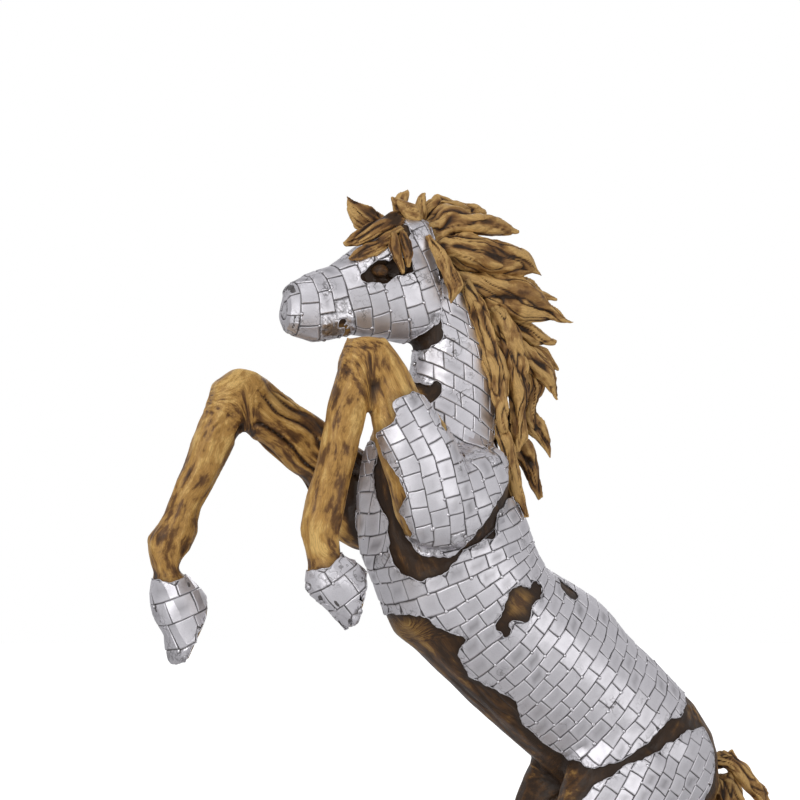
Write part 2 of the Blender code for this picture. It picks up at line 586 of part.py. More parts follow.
def keep_skin(made, body):
    """Leave only the faces that lie on the body's surface, without their shortest edges."""
    skin = BVHTree.FromObject(body, bpy.context.evaluated_depsgraph_get())
    bm = bmesh.new()
    bm.from_mesh(made.data)
    inside = [face for face in bm.faces if skin.find_nearest(face.calc_center_median())[3] > FIT_GAP / 2]
    bmesh.ops.delete(bm, geom=inside, context="FACES")
    bmesh.ops.dissolve_degenerate(bm, edges=bm.edges, dist=SHORTEST_EDGE)
    bmesh.ops.triangulate(bm, faces=bm.faces)
    bmesh.ops.delete(bm, geom=[vert for vert in bm.verts if not vert.link_faces], context="VERTS")
    bm.to_mesh(made.data)
    bm.free()


def boxes_meet(first, second):
    """Whether the two objects' boxes overlap, with a fit gap round them."""
    corners = [np.array([vert.co for vert in made.data.vertices]) for made in (first, second)]
    low = np.maximum(corners[0].min(axis=0), corners[1].min(axis=0))
    high = np.minimum(corners[0].max(axis=0), corners[1].max(axis=0))
    return bool((low < high + 2 * FIT_GAP).all())


def sole_plane(heel, toe):
    """A point on a front hoof's sole and the direction that the sole faces."""
    back = place(heel[0], 0.0, heel[1])
    front = place(toe[0], 0.0, toe[1])
    outward = (front - back).cross(Vector((0, 1, 0)))
    if outward.x < 0:
        outward.negate()
    return back, outward.normalized()


def front_hoof(name, stations, heel, toe):
    """A raised hoof, cut flat at its sole."""
    hoof = loft(name, stations, LIMB_SIDES, LIMB_STEPS)
    cut_off(hoof, *sole_plane(heel, toe))
    return hoof


def make_body():
    """The wooden figure: head, neck, trunk and legs in one, its eyes not yet cut."""
    limbs = [
        loft("trunk", TRUNK, LIMB_SIDES, LIMB_STEPS),
        loft("head", HEAD, LIMB_SIDES, LIMB_STEPS, squareness=2.4),
        loft("poll", POLL, LIMB_SIDES, LIMB_STEPS),
        loft("left_arm", LEFT_ARM, LIMB_SIDES, LIMB_STEPS, squareness=2.3),
        loft("left_cannon", LEFT_CANNON, LIMB_SIDES, LIMB_STEPS, squareness=2.3),
        front_hoof("left_hoof", LEFT_HOOF, LEFT_SOLE_HEEL, LEFT_SOLE_TOE),
        loft("right_arm", RIGHT_ARM, LIMB_SIDES, LIMB_STEPS, squareness=2.3),
        loft("right_cannon", RIGHT_CANNON, LIMB_SIDES, LIMB_STEPS, squareness=2.3),
        front_hoof("right_hoof", RIGHT_HOOF, RIGHT_SOLE_HEEL, RIGHT_SOLE_TOE),
    ]
    for mirrored in (False, True):
        limbs.append(loft("shoulder", SHOULDER, LIMB_SIDES, LIMB_STEPS, mirrored=mirrored))
        limbs.append(loft("hind_leg", HIND_LEG, LIMB_SIDES, LIMB_STEPS, mirrored=mirrored))
        limbs.append(loft("hind_hoof", HIND_HOOF, LIMB_SIDES, LIMB_STEPS, mirrored=mirrored))
    body = carved("horse_body", limbs, BODY_TRIANGLES)
    cut_off(body, Vector((0, 0, SOLE_LEVEL)), Vector((0, 0, -1)))
    return body


def carve_eyes(body):
    """Hollow each eye socket and leave a round eye in it."""
    x, y, z = EYE_PLACE
    for side in (-1, 1):
        socket_middle = place(x, side * (y + SOCKET_OUT), z)
        length, width, height = (reach * SHARE for reach in SOCKET_REACH)
        cut_by(body, ellipsoid("socket", socket_middle, (length, height, width), EYE_SIDES))
        ball = ellipsoid("eye", place(x, side * y, z), (EYE_RADIUS, EYE_RADIUS, EYE_RADIUS), EYE_SIDES)
        cut_by(body, ball, "UNION")


def make_plate(name, body, region, holes=(), sole=None):
    """A steel plate over part of the body: its skin inside the region, less the holes, given its thickness.

    The region and each hole are an x, z outline and a span. A hoof's plate stops short of the sole.
    """
    plate = swollen(body, 0.0, name)
    cut_by(plate, prism("region", *region), "INTERSECT")
    for hole in holes:
        cut_by(plate, prism("hole", *hole))
    if sole:
        point, outward = sole
        cut_off(plate, point - outward * SOLE_RIM, outward)
    keep_skin(plate, body)
    keep_largest(plate)
    lift = plate.modifiers.new("Lift", "DISPLACE")
    lift.strength = PLATE_GAP
    lift.mid_level = 0.0
    sheet = plate.modifiers.new("Sheet", "SOLIDIFY")
    sheet.thickness = PLATE_THICKNESS
    sheet.offset = 1.0
    sheet.thickness_clamp = 1.0
    bake(plate)
    cut_by(plate, swollen(body, FIT_GAP, "body_room"))
    keep_largest(plate)
    return plate


def make_plates(body):
    """Every steel plate."""
    ground = (Vector((0, 0, SOLE_LEVEL)), Vector((0, 0, -1)))
    left_sole = sole_plane(LEFT_SOLE_HEEL, LEFT_SOLE_TOE)
    right_sole = sole_plane(RIGHT_SOLE_HEEL, RIGHT_SOLE_TOE)
    head_holes = [
        (EAR_HOLLOW, LEFT_EAR_SPAN), (EAR_HOLLOW, RIGHT_EAR_SPAN), (EYE_HOLE, HEAD_SPAN), (MOUTH_CORNER, HEAD_SPAN),
    ]
    arm_inside = [(ARM_INSIDE, ARM_INSIDE_SPAN)]
    barrel_holes = [
        (FLANK_HOLE, ACROSS), (BACK_SLOT, ACROSS), (LEFT_ARM_ROOM, LEFT_ARM_SPAN),
        (RIGHT_ARM_ROOM, RIGHT_ARM_SPAN),
    ]
    return [
        make_plate("head_armour", body, (HEAD_PLATE, HEAD_SPAN), head_holes),
        make_plate("neck_armour", body, (NECK_PLATE, NECK_SPAN)),
        make_plate("shoulder_armour_left", body, (LEFT_SHOULDER_PLATE, LEFT_SHOULDER_SPAN), arm_inside),
        make_plate("shoulder_armour_right", body, (RIGHT_SHOULDER_PLATE, RIGHT_SHOULDER_SPAN)),
        make_plate("barrel_armour", body, (BARREL_PLATE, ACROSS), barrel_holes),
        make_plate("haunch_armour_left", body, (HAUNCH_PLATE, LEFT_HAUNCH_SPAN)),
        make_plate("haunch_armour_right", body, (HAUNCH_PLATE, RIGHT_HAUNCH_SPAN)),
        make_plate("hoof_cap_front_left", body, (LEFT_HOOF_PLATE, LEFT_HOOF_SPAN), sole=left_sole),
        make_plate("hoof_cap_front_right", body, (RIGHT_HOOF_PLATE, RIGHT_HOOF_SPAN), sole=right_sole),
        make_plate("hoof_cap_hind_left", body, (HIND_HOOF_PLATE, LEFT_HOOF_SPAN), sole=ground),
        make_plate("hoof_cap_hind_right", body, (HIND_HOOF_PLATE, RIGHT_HOOF_SPAN), sole=ground),
    ]


def make_locks(body, plates):
    """The ear, forelock, mane and tail, each trimmed to what it is fixed to."""
    rooms = [swollen(body, FIT_GAP, "body_room")]
    rooms += [swollen(plate, FIT_GAP, plate.name + "_room") for plate in plates]
    locks = []
    for name, stations in LOCKS.items():
        lock = loft(name, stations, LOCK_SIDES, 1)
        room = swollen(lock, FIT_GAP, name + "_room")
        for neighbour in rooms:
            if boxes_meet(lock, neighbour):
                boolean(lock, neighbour, "DIFFERENCE")
        keep_largest(lock)
        locks.append(lock)
        rooms.append(room)
    for room in rooms:
        remove(room)
    return locks


def make_base():
    """A low slab with a softly waving edge."""
    bm = bmesh.new()
    rim = []
    for k in range(BASE_SIDES):
        angle = 2 * math.pi * k / BASE_SIDES
        wave = BASE_WAVE * (math.sin(3 * angle + 0.6) + 0.6 * math.sin(5 * angle))
        x = powered(math.cos(angle), 0.7) * (BASE_LENGTH / 2 - BASE_WAVE) + wave * math.cos(angle)
        y = powered(math.sin(angle), 0.7) * (BASE_WIDTH / 2 - BASE_WAVE) + wave * math.sin(angle)
        rim.append(bm.verts.new((x, y, 0.0)))
    face = bm.faces.new(rim)
    grown = bmesh.ops.extrude_face_region(bm, geom=[face])
    moved = [item for item in grown["geom"] if isinstance(item, bmesh.types.BMVert)]
    bmesh.ops.translate(bm, verts=moved, vec=(0, 0, BASE_THICKNESS))
    bmesh.ops.recalc_face_normals(bm, faces=bm.faces)
    base = finish_bmesh("base", bm)
    edge = base.modifiers.new("Edge", "BEVEL")
    edge.width = BASE_EDGE_ROUND
    edge.segments = 1
    edge.limit_method = "ANGLE"
    edge.angle_limit = math.radians(60)
    return base


def make_material(name, colour, roughness, metallic):
    """A plain finish of one colour."""
    material = bpy.data.materials.new(name)
    material.use_nodes = True
    shader = material.node_tree.nodes["Principled BSDF"]
    shader.inputs["Base Color"].default_value = (*colour, 1.0)
    shader.inputs["Roughness"].default_value = roughness
    shader.inputs["Metallic"].default_value = metallic
    return material


def finish(pieces, material, collection):
    """Give the pieces their finish and their place in the collection, shaded smooth but for sharp edges."""
    for piece in pieces:
        piece.data.materials.clear()
        piece.data.materials.append(material)
        piece.data.shade_smooth()
        piece.data.set_sharp_from_angle(angle=math.radians(40))
        bpy.context.scene.collection.objects.unlink(piece)
        collection.objects.link(piece)


def main():
    """Build the horse on its base."""
    for old in list(bpy.data.objects):
        bpy.data.objects.remove(old)
    collection = bpy.data.collections.new("rearing_horse")
    bpy.context.scene.collection.children.link(collection)
    body = make_body()
    plates = make_plates(body)
    locks = make_locks(body, plates)
    carve_eyes(body)
    base = make_base()
    finish([body], make_material("stained_wood", (0.27, 0.14, 0.05), 0.42, 0.0), collection)
    finish(plates, make_material("bright_steel", (0.72, 0.72, 0.74), 0.28, 1.0), collection)
    finish(locks, make_material("weathered_wood", (0.22, 0.12, 0.05), 0.55, 0.0), collection)
    finish([base], make_material("base_wood", (0.16, 0.08, 0.03), 0.45, 0.0), collection)


main()
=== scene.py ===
"""The finished look of the rearing horse: stained carving, nailed steel plates and a driftwood mane."""

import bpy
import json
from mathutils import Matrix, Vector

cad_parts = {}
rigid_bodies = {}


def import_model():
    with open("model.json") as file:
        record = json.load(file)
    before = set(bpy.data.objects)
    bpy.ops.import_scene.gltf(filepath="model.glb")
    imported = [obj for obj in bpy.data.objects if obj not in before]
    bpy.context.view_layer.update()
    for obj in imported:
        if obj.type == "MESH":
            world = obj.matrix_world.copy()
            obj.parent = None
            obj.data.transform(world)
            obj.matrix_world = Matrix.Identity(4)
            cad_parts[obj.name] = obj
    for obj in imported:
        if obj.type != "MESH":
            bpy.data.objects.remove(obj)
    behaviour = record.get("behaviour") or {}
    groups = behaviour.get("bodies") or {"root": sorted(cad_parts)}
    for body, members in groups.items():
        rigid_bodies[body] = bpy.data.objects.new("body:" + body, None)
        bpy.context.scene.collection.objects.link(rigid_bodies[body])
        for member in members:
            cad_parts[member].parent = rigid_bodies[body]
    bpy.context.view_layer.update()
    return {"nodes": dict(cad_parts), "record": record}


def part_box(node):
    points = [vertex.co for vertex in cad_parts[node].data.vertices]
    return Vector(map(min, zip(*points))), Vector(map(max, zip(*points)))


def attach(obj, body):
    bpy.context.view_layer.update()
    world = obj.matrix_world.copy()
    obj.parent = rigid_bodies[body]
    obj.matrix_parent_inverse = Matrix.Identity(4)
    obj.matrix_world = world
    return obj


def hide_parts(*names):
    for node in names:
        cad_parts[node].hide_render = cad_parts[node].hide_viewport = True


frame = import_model()

import json
import logging
import math
from dataclasses import dataclass, field
from enum import Enum

import bmesh
import bpy
import numpy as np
from mathutils import Matrix, Vector
from mathutils.bvhtree import BVHTree
from mathutils.kdtree import KDTree

LOG = logging.getLogger("rearing_horse")

# Places on the figure are given in shares, which are hundredths of its height. Other lengths are in metres.
SHARE = 0.0243
BASE_TOP = 0.07
SOLE_LEVEL = 0.0705

# Points of a solid that are closer than this are one point.
SAME_POINT = 0.00001

# The most triangles that one piece keeps.
MOST_TRIANGLES = 190_000


def place(x: float, y: float, z: float) -> np.ndarray:
    """A point given in shares, from the base's top."""
    return np.array([x * SHARE, y * SHARE, BASE_TOP + z * SHARE])


def rising(values: np.ndarray, width: float, start: float = 0.0) -> np.ndarray:
    """0 up to the start, and from there evenly up to 1 over the width."""
    return np.clip((values - start) / width, 0, 1)


def fading(values: np.ndarray, width: float) -> np.ndarray:
    """1 at 0, and from there evenly down to 0 over the width."""
    return np.clip(1 - values / width, 0, 1)


class Noise:
    """Smooth, repeatable noise over space, for reliefs that are cut into a mesh."""

    STRENGTH = 1.6

    def __init__(self, seed: int) -> None:
        """Shuffle the lattice of slopes that the seed stands for.

        Args:
            seed: Which of the endless patterns this one is.
        """
        rng = np.random.default_rng(seed)
        self.order = rng.permutation(256)
        slopes = rng.normal(size=(256, 3))
        self.slopes = slopes / np.linalg.norm(slopes, axis=1)[:, None]

    def at(self, points: np.ndarray) -> np.ndarray:
        """The noise at each point.

        Args:
            points: One row of three coordinates for each point, a cell being 1 wide.

        Returns:
            A value of about -1 to 1 for each point.
        """
        cell = np.floor(points).astype(int)
        inside = points - cell
        ease = inside ** 3 * (inside * (inside * 6 - 15) + 10)
        total = np.zeros(len(points))
        for corner in np.ndindex(2, 2, 2):
            at = (cell + corner) & 255
            index = self.order[(self.order[(self.order[at[:, 0]] + at[:, 1]) & 255] + at[:, 2]) & 255]
            value = (self.slopes[index] * (inside - corner)).sum(axis=1)
            weight = np.where(np.array(corner) == 1, ease, 1 - ease).prod(axis=1)
            total += value * weight
        return total * self.STRENGTH

    def layered(self, points: np.ndarray, layers: int) -> np.ndarray:
        """Several sizes of noise added up, each half as wide and half as strong as the one before."""
        return sum(self.at(points * 2 ** k + 17.3 * k) / 2 ** k for k in range(layers))

    def ridged(self, points: np.ndarray, layers: int) -> np.ndarray:
        """Noise with sharp valleys, from 0 in a valley's bottom up to about 1."""
        return sum(np.abs(self.at(points * 2 ** k + 9.1 * k)) / 2 ** k for k in range(layers))

    def shift(self, points: np.ndarray, cells: float) -> np.ndarray:
        """Three unlike values for each point, with so many cells of noise to a metre."""
        return np.stack([self.at(points * cells + 20.0 * axis) for axis in range(3)], axis=1)


class Skin:
    """A closed triangle surface that can be searched."""

    def __init__(self, points: np.ndarray, faces: list) -> None:
        """Build the search tree.

        Args:
            points: The surface's points.
            faces: Each face's point numbers.
        """
        self.points = np.asarray(points)
        self.tree = BVHTree.FromPolygons([Vector(p) for p in points], [tuple(f) for f in faces])
        self.rings = np.array([[*face, face[-1]] if len(face) == 3 else list(face)[:4] for face in faces])

    def nearest(self, points: np.ndarray) -> tuple[np.ndarray, np.ndarray, np.ndarray]:
        """The nearest place on the surface to each point.

        Args:
            points: The points.

        Returns:
            The places, the surface's directions there, and the distances.
        """
        found = [self.tree.find_nearest(Vector(p)) for p in points]
        places = np.array([f[0] for f in found])
        normals = np.array([f[1] for f in found])
        return places, normals, np.array([f[3] for f in found])

    def carried(self, points: np.ndarray, values: np.ndarray) -> np.ndarray:
        """A value that is known at the surface's own points, read off at other places.

        Args:
            points: The places.
            values: The value at each of the surface's points.

        Returns:
            The value at each place.
        """
        found = [self.tree.find_nearest(Vector(point)) for point in points]
        spots = np.array([item[0] for item in found])
        rings = self.rings[[item[2] for item in found]]
        softening = 1e-7
        weight = 1 / (((self.points[rings] - spots[:, None]) ** 2).sum(axis=2) + softening)
        return (values[rings] * weight).sum(axis=1) / weight.sum(axis=1)

    def outermost(self, origin: np.ndarray, direction: np.ndarray, reach: float) -> np.ndarray | None:
        """Where a ray that comes in from outside first meets the surface.

        Args:
            origin: A point inside the body.
            direction: The way out.
            reach: How far out the ray starts.

        Returns:
            The place, or None if the ray meets nothing.
        """
        hit = self.tree.ray_cast(Vector(origin + direction * reach), Vector(-direction), reach)
        return None if hit[0] is None else np.array(hit[0])


def cad_arrays(name: str) -> tuple[np.ndarray, np.ndarray]:
    """Read a node's solid.

    Args:
        name: The node's name.

    Returns:
        The solid's points, each kept once, and its triangles.
    """
    bm = bmesh.new()
    bm.from_mesh(frame["nodes"][name].data)
    bmesh.ops.remove_doubles(bm, verts=bm.verts, dist=SAME_POINT)
    bmesh.ops.triangulate(bm, faces=bm.faces)
    bm.verts.index_update()
    points = np.array([v.co for v in bm.verts])
    faces = np.array([[v.index for v in f.verts] for f in bm.faces])
    bm.free()
    return points, faces


def linked(name: str, data: bpy.types.ID) -> bpy.types.Object:
    """A new object in the scene, at the origin.

    Args:
        name: Its name.
        data: Its mesh, light or camera.

    Returns:
        The object.
    """
    made = bpy.data.objects.new(name, data)
    bpy.context.scene.collection.objects.link(made)
    return made


def mesh_object(name: str, points: np.ndarray, faces: list, lines: list | None = None) -> bpy.types.Object:
    """Make a smoothly shaded mesh.

    Args:
        name: The name of the mesh and its object.
        points: Its points.
        faces: Each face's point numbers.
        lines: The two point numbers of each edge that has no face.

    Returns:
        The mesh's new object, at the origin.
    """
    mesh = bpy.data.meshes.new(name)
    mesh.from_pydata(np.asarray(points).tolist(), lines or [], [list(map(int, f)) for f in faces])
    mesh.update()
    mesh.shade_smooth()
    return linked(name, mesh)


def set_attributes(made: bpy.types.Object, **attributes: np.ndarray | float) -> None:
    """Store numbers or vectors for the object's points.

    Args:
        made: The object.
        attributes: By its name, each attribute's value for every point, or one number for all of them.
    """
    for name, values in attributes.items():
        if np.ndim(values) == 0:
            values = np.full(len(made.data.vertices), values)
        kind, key = ("FLOAT", "value") if values.ndim == 1 else ("FLOAT_VECTOR", "vector")
        made.data.attributes.new(name, kind, "POINT").data.foreach_set(key, values.astype(np.float32).ravel())


def read(items: bpy.types.bpy_prop_collection, key: str, width: int = 3, kind: type = float) -> np.ndarray:
    """Read one property of all the items that a mesh has of a kind.

    Args:
        items: The mesh's points, directions, edges or stored values.
        key: The property's name.
        width: How many numbers an item's property has.
        kind: What sort of numbers they are.

    Returns:
        A row for each item.
    """
    flat = np.empty(len(items) * width, kind)
    items.foreach_get(key, flat)
    return flat.reshape(-1, width)


def get_points(mesh: bpy.types.Mesh) -> np.ndarray:
    """The mesh's points."""
    return read(mesh.vertices, "co")


def set_points(mesh: bpy.types.Mesh, points: np.ndarray) -> None:
    """Move the mesh's points."""
    mesh.vertices.foreach_set("co", points.ravel())
    mesh.update()


def get_normals(mesh: bpy.types.Mesh) -> np.ndarray:
    """The direction that the surface faces at each point."""
    return read(mesh.vertex_normals, "vector")


def get_edges(mesh: bpy.types.Mesh) -> np.ndarray:
    """The two point numbers of each edge."""
    return read(mesh.edges, "vertices", 2, np.int32)


def get_faces(mesh: bpy.types.Mesh) -> list:
    """The point numbers of each face."""
    return [tuple(face.vertices) for face in mesh.polygons]


def neighbour_mean(values: np.ndarray, edges: np.ndarray) -> np.ndarray:
    """The mean value of the points that each point shares an edge with.

    Args:
        values: A number or a row of numbers for each point.
        edges: The two point numbers of each edge.

    Returns:
        The means, laid out as the values are.
    """
    first, second = edges.T
    count = np.bincount(edges.ravel(), minlength=len(values))
    columns = values.reshape(len(values), -1).T
    total = [np.bincount(first, column[second], len(values)) + np.bincount(second, column[first], len(values))
             for column in columns]
    return (np.stack(total, axis=1) / count[:, None]).reshape(values.shape)


def relaxed(points: np.ndarray, edges: np.ndarray, rounds: int) -> np.ndarray:
    """The points with small bumps taken out and the volume kept.

    Args:
        points: The surface's points.
        edges: The two point numbers of each edge.
        rounds: How many times each point moves towards its neighbours and back.

    Returns:
        The new points.
    """
    for pull in (0.55, -0.56) * rounds:
        points = points + (neighbour_mean(points, edges) - points) * pull
    return points


def bulge(points: np.ndarray, edges: np.ndarray, normals: np.ndarray, rounds: int) -> np.ndarray:
    """How far each point stands out from the surface around it, less than 0 where it lies lower.

    Args:
        points: The surface's points.
        edges: The two point numbers of each edge.
        normals: The direction that the surface faces at each point.
        rounds: How wide the compared surroundings are.

    Returns:
        A distance in metres for each point.
    """
    smooth = points
    for _ in range(rounds):
        smooth = neighbour_mean(smooth, edges)
    return ((points - smooth) * normals).sum(axis=1)


def group_means(number: np.ndarray, points: np.ndarray) -> np.ndarray:
    """The middle of each group of points.

    Args:
        number: The number of the group that each point belongs to.
        points: A row of coordinates for each point.

    Returns:
        A row of coordinates for each group.
    """
    total = np.bincount(number)
    return np.stack([np.bincount(number, column) / total for column in points.T], axis=1)


def baked(made: bpy.types.Object) -> bpy.types.Object:
    """Make the object's modifiers into plain mesh.

    Args:
        made: The object.

    Returns:
        The same object, without modifiers.
    """
    bpy.context.view_layer.update()
    mesh = bpy.data.meshes.new_from_object(made.evaluated_get(bpy.context.evaluated_depsgraph_get()))
    made.modifiers.clear()
    old = made.data
    made.data = mesh
    bpy.data.meshes.remove(old)
    return made


def remeshed(node: str, grain: float) -> bpy.types.Object:
    """Rebuild a wooden node's solid with even faces.

    Args:
        node: The node's name.
        grain: How wide the faces are.

    Returns:
        The new object.
    """
    made = mesh_object(node + "_wood", *cad_arrays(node))
    modifier = made.modifiers.new("Even", "REMESH")
    modifier.mode = "VOXEL"
    modifier.voxel_size = grain
    return baked(made)


def thinned(made: bpy.types.Object) -> None:
    """Join faces where a piece is even, until it has no more triangles than one piece may have.

    Args:
        made: The piece.
    """
    count = sum(len(face.vertices) - 2 for face in made.data.polygons)
    if count > MOST_TRIANGLES:
        modifier = made.modifiers.new("Thin", "DECIMATE")
        modifier.ratio = MOST_TRIANGLES / count
        baked(made)
        LOG.info("%s: %d triangles thinned to %d", made.name, count, MOST_TRIANGLES)


def dress(made: bpy.types.Object, finish: bpy.types.Material, node: str | None) -> bpy.types.Object:
    """Give a finished piece its material and tie it to the model.

    Args:
        made: The piece.
        finish: Its material.
        node: The node that the piece stands for, or None where it is only added to one.

    Returns:
        The same piece.
    """
    made.data.materials.clear()
    made.data.materials.append(finish)
    if node is not None:
        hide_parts(node)
    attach(made, "root")
    return made


class Socket(Enum):
    """The kinds of value that go into and out of a node tree."""

    FLOAT = "NodeSocketFloat"
    INT = "NodeSocketInt"
    VECTOR = "NodeSocketVector"
    GEOMETRY = "NodeSocketGeometry"
    MATERIAL = "NodeSocketMaterial"


class Nodes:
    """Adds nodes to a node tree in few words."""

    def __init__(self, tree: bpy.types.NodeTree) -> None:
        """Take the tree to add to."""
        self.tree = tree

    def feed(self, sockets: bpy.types.NodeInputs, values: dict) -> None:
        """Give inputs what they work on.

        Args:
            sockets: A node's inputs.
            values: By its name or number, what each input gets: a number, a colour, or the output that feeds it.
        """
        for key, value in values.items():
            if isinstance(value, bpy.types.NodeSocket):
                self.tree.links.new(value, sockets[key])
            else:
                sockets[key].default_value = value

    def add(self, kind: str, values: dict | None = None, **settings: object) -> bpy.types.Node:
        """Add a node.

        Args:
            kind: The node's type.
            values: What its inputs get.
            settings: The node's own options.

        Returns:
            The new node.
        """
        made = self.tree.nodes.new(kind)
        for key, value in settings.items():
            setattr(made, key, value)
        self.feed(made.inputs, values or {})
        return made

    def math(self, operation: str, *values: object) -> bpy.types.NodeSocket:
        """The result of one sum on numbers or outputs."""
        return self.add("ShaderNodeMath", dict(enumerate(values)), operation=operation).outputs[0]

    def weighted(self, start: float, *parts: tuple) -> bpy.types.NodeSocket:
        """The start with the outputs added to it, each multiplied by its own number.

        Args:
            start: The number to start from.
            parts: Each output with its number.

        Returns:
            The sum.
        """
        total = start
        for value, share in parts:
            total = self.math("ADD", total, self.math("MULTIPLY", value, share))
        return total

    def vector(self, operation: str, values: dict) -> bpy.types.NodeSocket:
        """The result of one sum on vectors."""
        return self.add("ShaderNodeVectorMath", values, operation=operation).outputs[0]

    def combined(self, *values: object) -> bpy.types.NodeSocket:
        """A vector made of up to three numbers or outputs."""
        return self.add("ShaderNodeCombineXYZ", dict(enumerate(values))).outputs[0]

    def span(self, value: object, low: float, high: float) -> bpy.types.NodeSocket:
        """The value, turned into 0 at low and 1 at high, with soft ends."""
        made = self.add("ShaderNodeMapRange", {0: value, 1: low, 2: high}, interpolation_type="SMOOTHSTEP")
        return made.outputs[0]

    def mix(self, share: object, first: object, second: object) -> bpy.types.NodeSocket:
        """One colour turning into another as the share goes from 0 to 1.

        Args:
            share: The share.
            first: The colour at 0, as red, green and blue or as an output.
            second: The colour at 1.

        Returns:
            The mixed colour.
        """
        first, second = ((*colour, 1) if isinstance(colour, tuple) else colour for colour in (first, second))
        return self.add("ShaderNodeMix", {0: share, 6: first, 7: second}, data_type="RGBA").outputs[2]

    def noise(self, vector: object, cells: tuple, detail: float, roughness: float) -> bpy.types.NodeSocket:
        """Smooth noise over the coordinates.

        Args:
            vector: The coordinates.
            cells: How many cells there are to a metre along each of them.
            detail: How many finer sizes are added.
            roughness: How strong those are.

        Returns:
            A value of 0 to 1.
        """
        scaled = self.add("ShaderNodeMapping", {"Vector": vector, "Scale": cells}).outputs[0]
        values = {"Vector": scaled, "Scale": 1.0, "Detail": detail, "Roughness": roughness}
        return self.add("ShaderNodeTexNoise", values).outputs[0]

    def attribute(self, name: str, output: str = "Fac") -> bpy.types.NodeSocket:
        """A value that the piece's own mesh stores."""
        return self.add("ShaderNodeAttribute", attribute_name=name).outputs[output]

    def position(self) -> bpy.types.NodeSocket:
        """Where the geometry's points are."""
        return self.add("GeometryNodeInputPosition").outputs[0]

    def chance(self, low: object, high: object, seed: object, number: object | None = None) -> bpy.types.NodeSocket:
        """A random number for each element.

        Args:
            low: The smallest.
            high: The largest.
            seed: The seed.
            number: The element's number, where it isn't the usual one.

        Returns:
            The random number.
        """
        values = {2: low, 3: high, 8: seed} | ({} if number is None else {7: number})
        return self.add("FunctionNodeRandomValue", values, data_type="FLOAT").outputs[1]

    def choice(self, index: object, values: tuple) -> bpy.types.NodeSocket:
        """The one of several numbers that the index picks.

        Args:
            index: The index, a whole number from 0.
            values: The numbers.

        Returns:
            The picked number.
        """
        made = self.add("GeometryNodeIndexSwitch", data_type="FLOAT")
        while len(made.index_switch_items) < len(values):
            made.index_switch_items.new()
        self.feed(made.inputs, {0: index} | {number + 1: value for number, value in enumerate(values)})
        return made.outputs[0]

    def stored(self, geometry: object, name: str, value: object, kind: str, domain: str = "POINT") -> object:
        """Store a value with the geometry.

        Args:
            geometry: The geometry.
            name: The value's name.
            value: The value.
            kind: What sort of value it is.
            domain: What it is stored for.

        Returns:
            The geometry with the value.
        """
        values = {"Geometry": geometry, "Name": name, "Value": value}
        return self.add("GeometryNodeStoreNamedAttribute", values, data_type=kind, domain=domain).outputs[0]

    def hand_out(self, geometry: object, finish: object, exit_node: bpy.types.Node) -> None:
        """End a tree: real geometry, in its material.

        Args:
            geometry: What the tree made.
            finish: The material.
            exit_node: The tree's output node.
        """
        real = self.add("GeometryNodeRealizeInstances", {0: geometry}).outputs[0]
        self.feed(exit_node.inputs, {0: self.add("GeometryNodeSetMaterial", {0: real, 2: finish}).outputs[0]})


def new_tree(name: str, kind: str, inputs: dict, outputs: dict) -> tuple[Nodes, dict, bpy.types.Node]:
    """Start a node tree.

    Args:
        name: The tree's name.
        kind: The type of tree.
        inputs: Each input's name and kind.
        outputs: Each output's name and kind.

    Returns:
        A helper to fill the tree, its inputs by name, and its output node.
    """
    tree = bpy.data.node_groups.new(name, kind)
    for way, sockets in (("INPUT", inputs), ("OUTPUT", outputs)):
        for key, socket in sockets.items():
            tree.interface.new_socket(key, in_out=way, socket_type=socket.value)
    nodes = Nodes(tree)
    entry = nodes.add("NodeGroupInput")
    return nodes, {key: entry.outputs[key] for key in inputs}, nodes.add("NodeGroupOutput")


def wood_group() -> bpy.types.NodeTree:
    """Stains, streaks and fibres that run along the first of the grain coordinates.

    Returns:
        The group.
    """
    outputs = dict.fromkeys(("Stain", "Streak", "Fibre", "Height"), Socket.FLOAT)
    inputs = {"Grain": Socket.VECTOR, "Size": Socket.FLOAT}
    nodes, given, exit_node = new_tree("wood_fibre", "ShaderNodeTree", inputs, outputs)
    scaled = nodes.vector("SCALE", {0: given["Grain"], 3: given["Size"]})
    bend = nodes.add("ShaderNodeTexNoise", {"Vector": scaled, "Scale": 9.0, "Detail": 2.0}).outputs[1]
    shift = nodes.vector("ADD", {0: bend, 1: (-0.5, -0.5, -0.5)})
    bent = nodes.vector("ADD", {0: scaled, 1: nodes.vector("SCALE", {0: shift, 3: 0.03})})
    stain = nodes.noise(bent, (11.0, 21.0, 21.0), 5.0, 0.6)
    streak = nodes.noise(bent, (10.0, 62.0, 62.0), 5.0, 0.6)
    fibre = nodes.noise(bent, (22.0, 320.0, 320.0), 3.0, 0.6)
    height = nodes.weighted(0.0, (streak, 0.7), (fibre, 0.3))
    nodes.feed(exit_node.inputs, {"Stain": stain, "Streak": streak, "Fibre": fibre, "Height": height})
    return nodes.tree


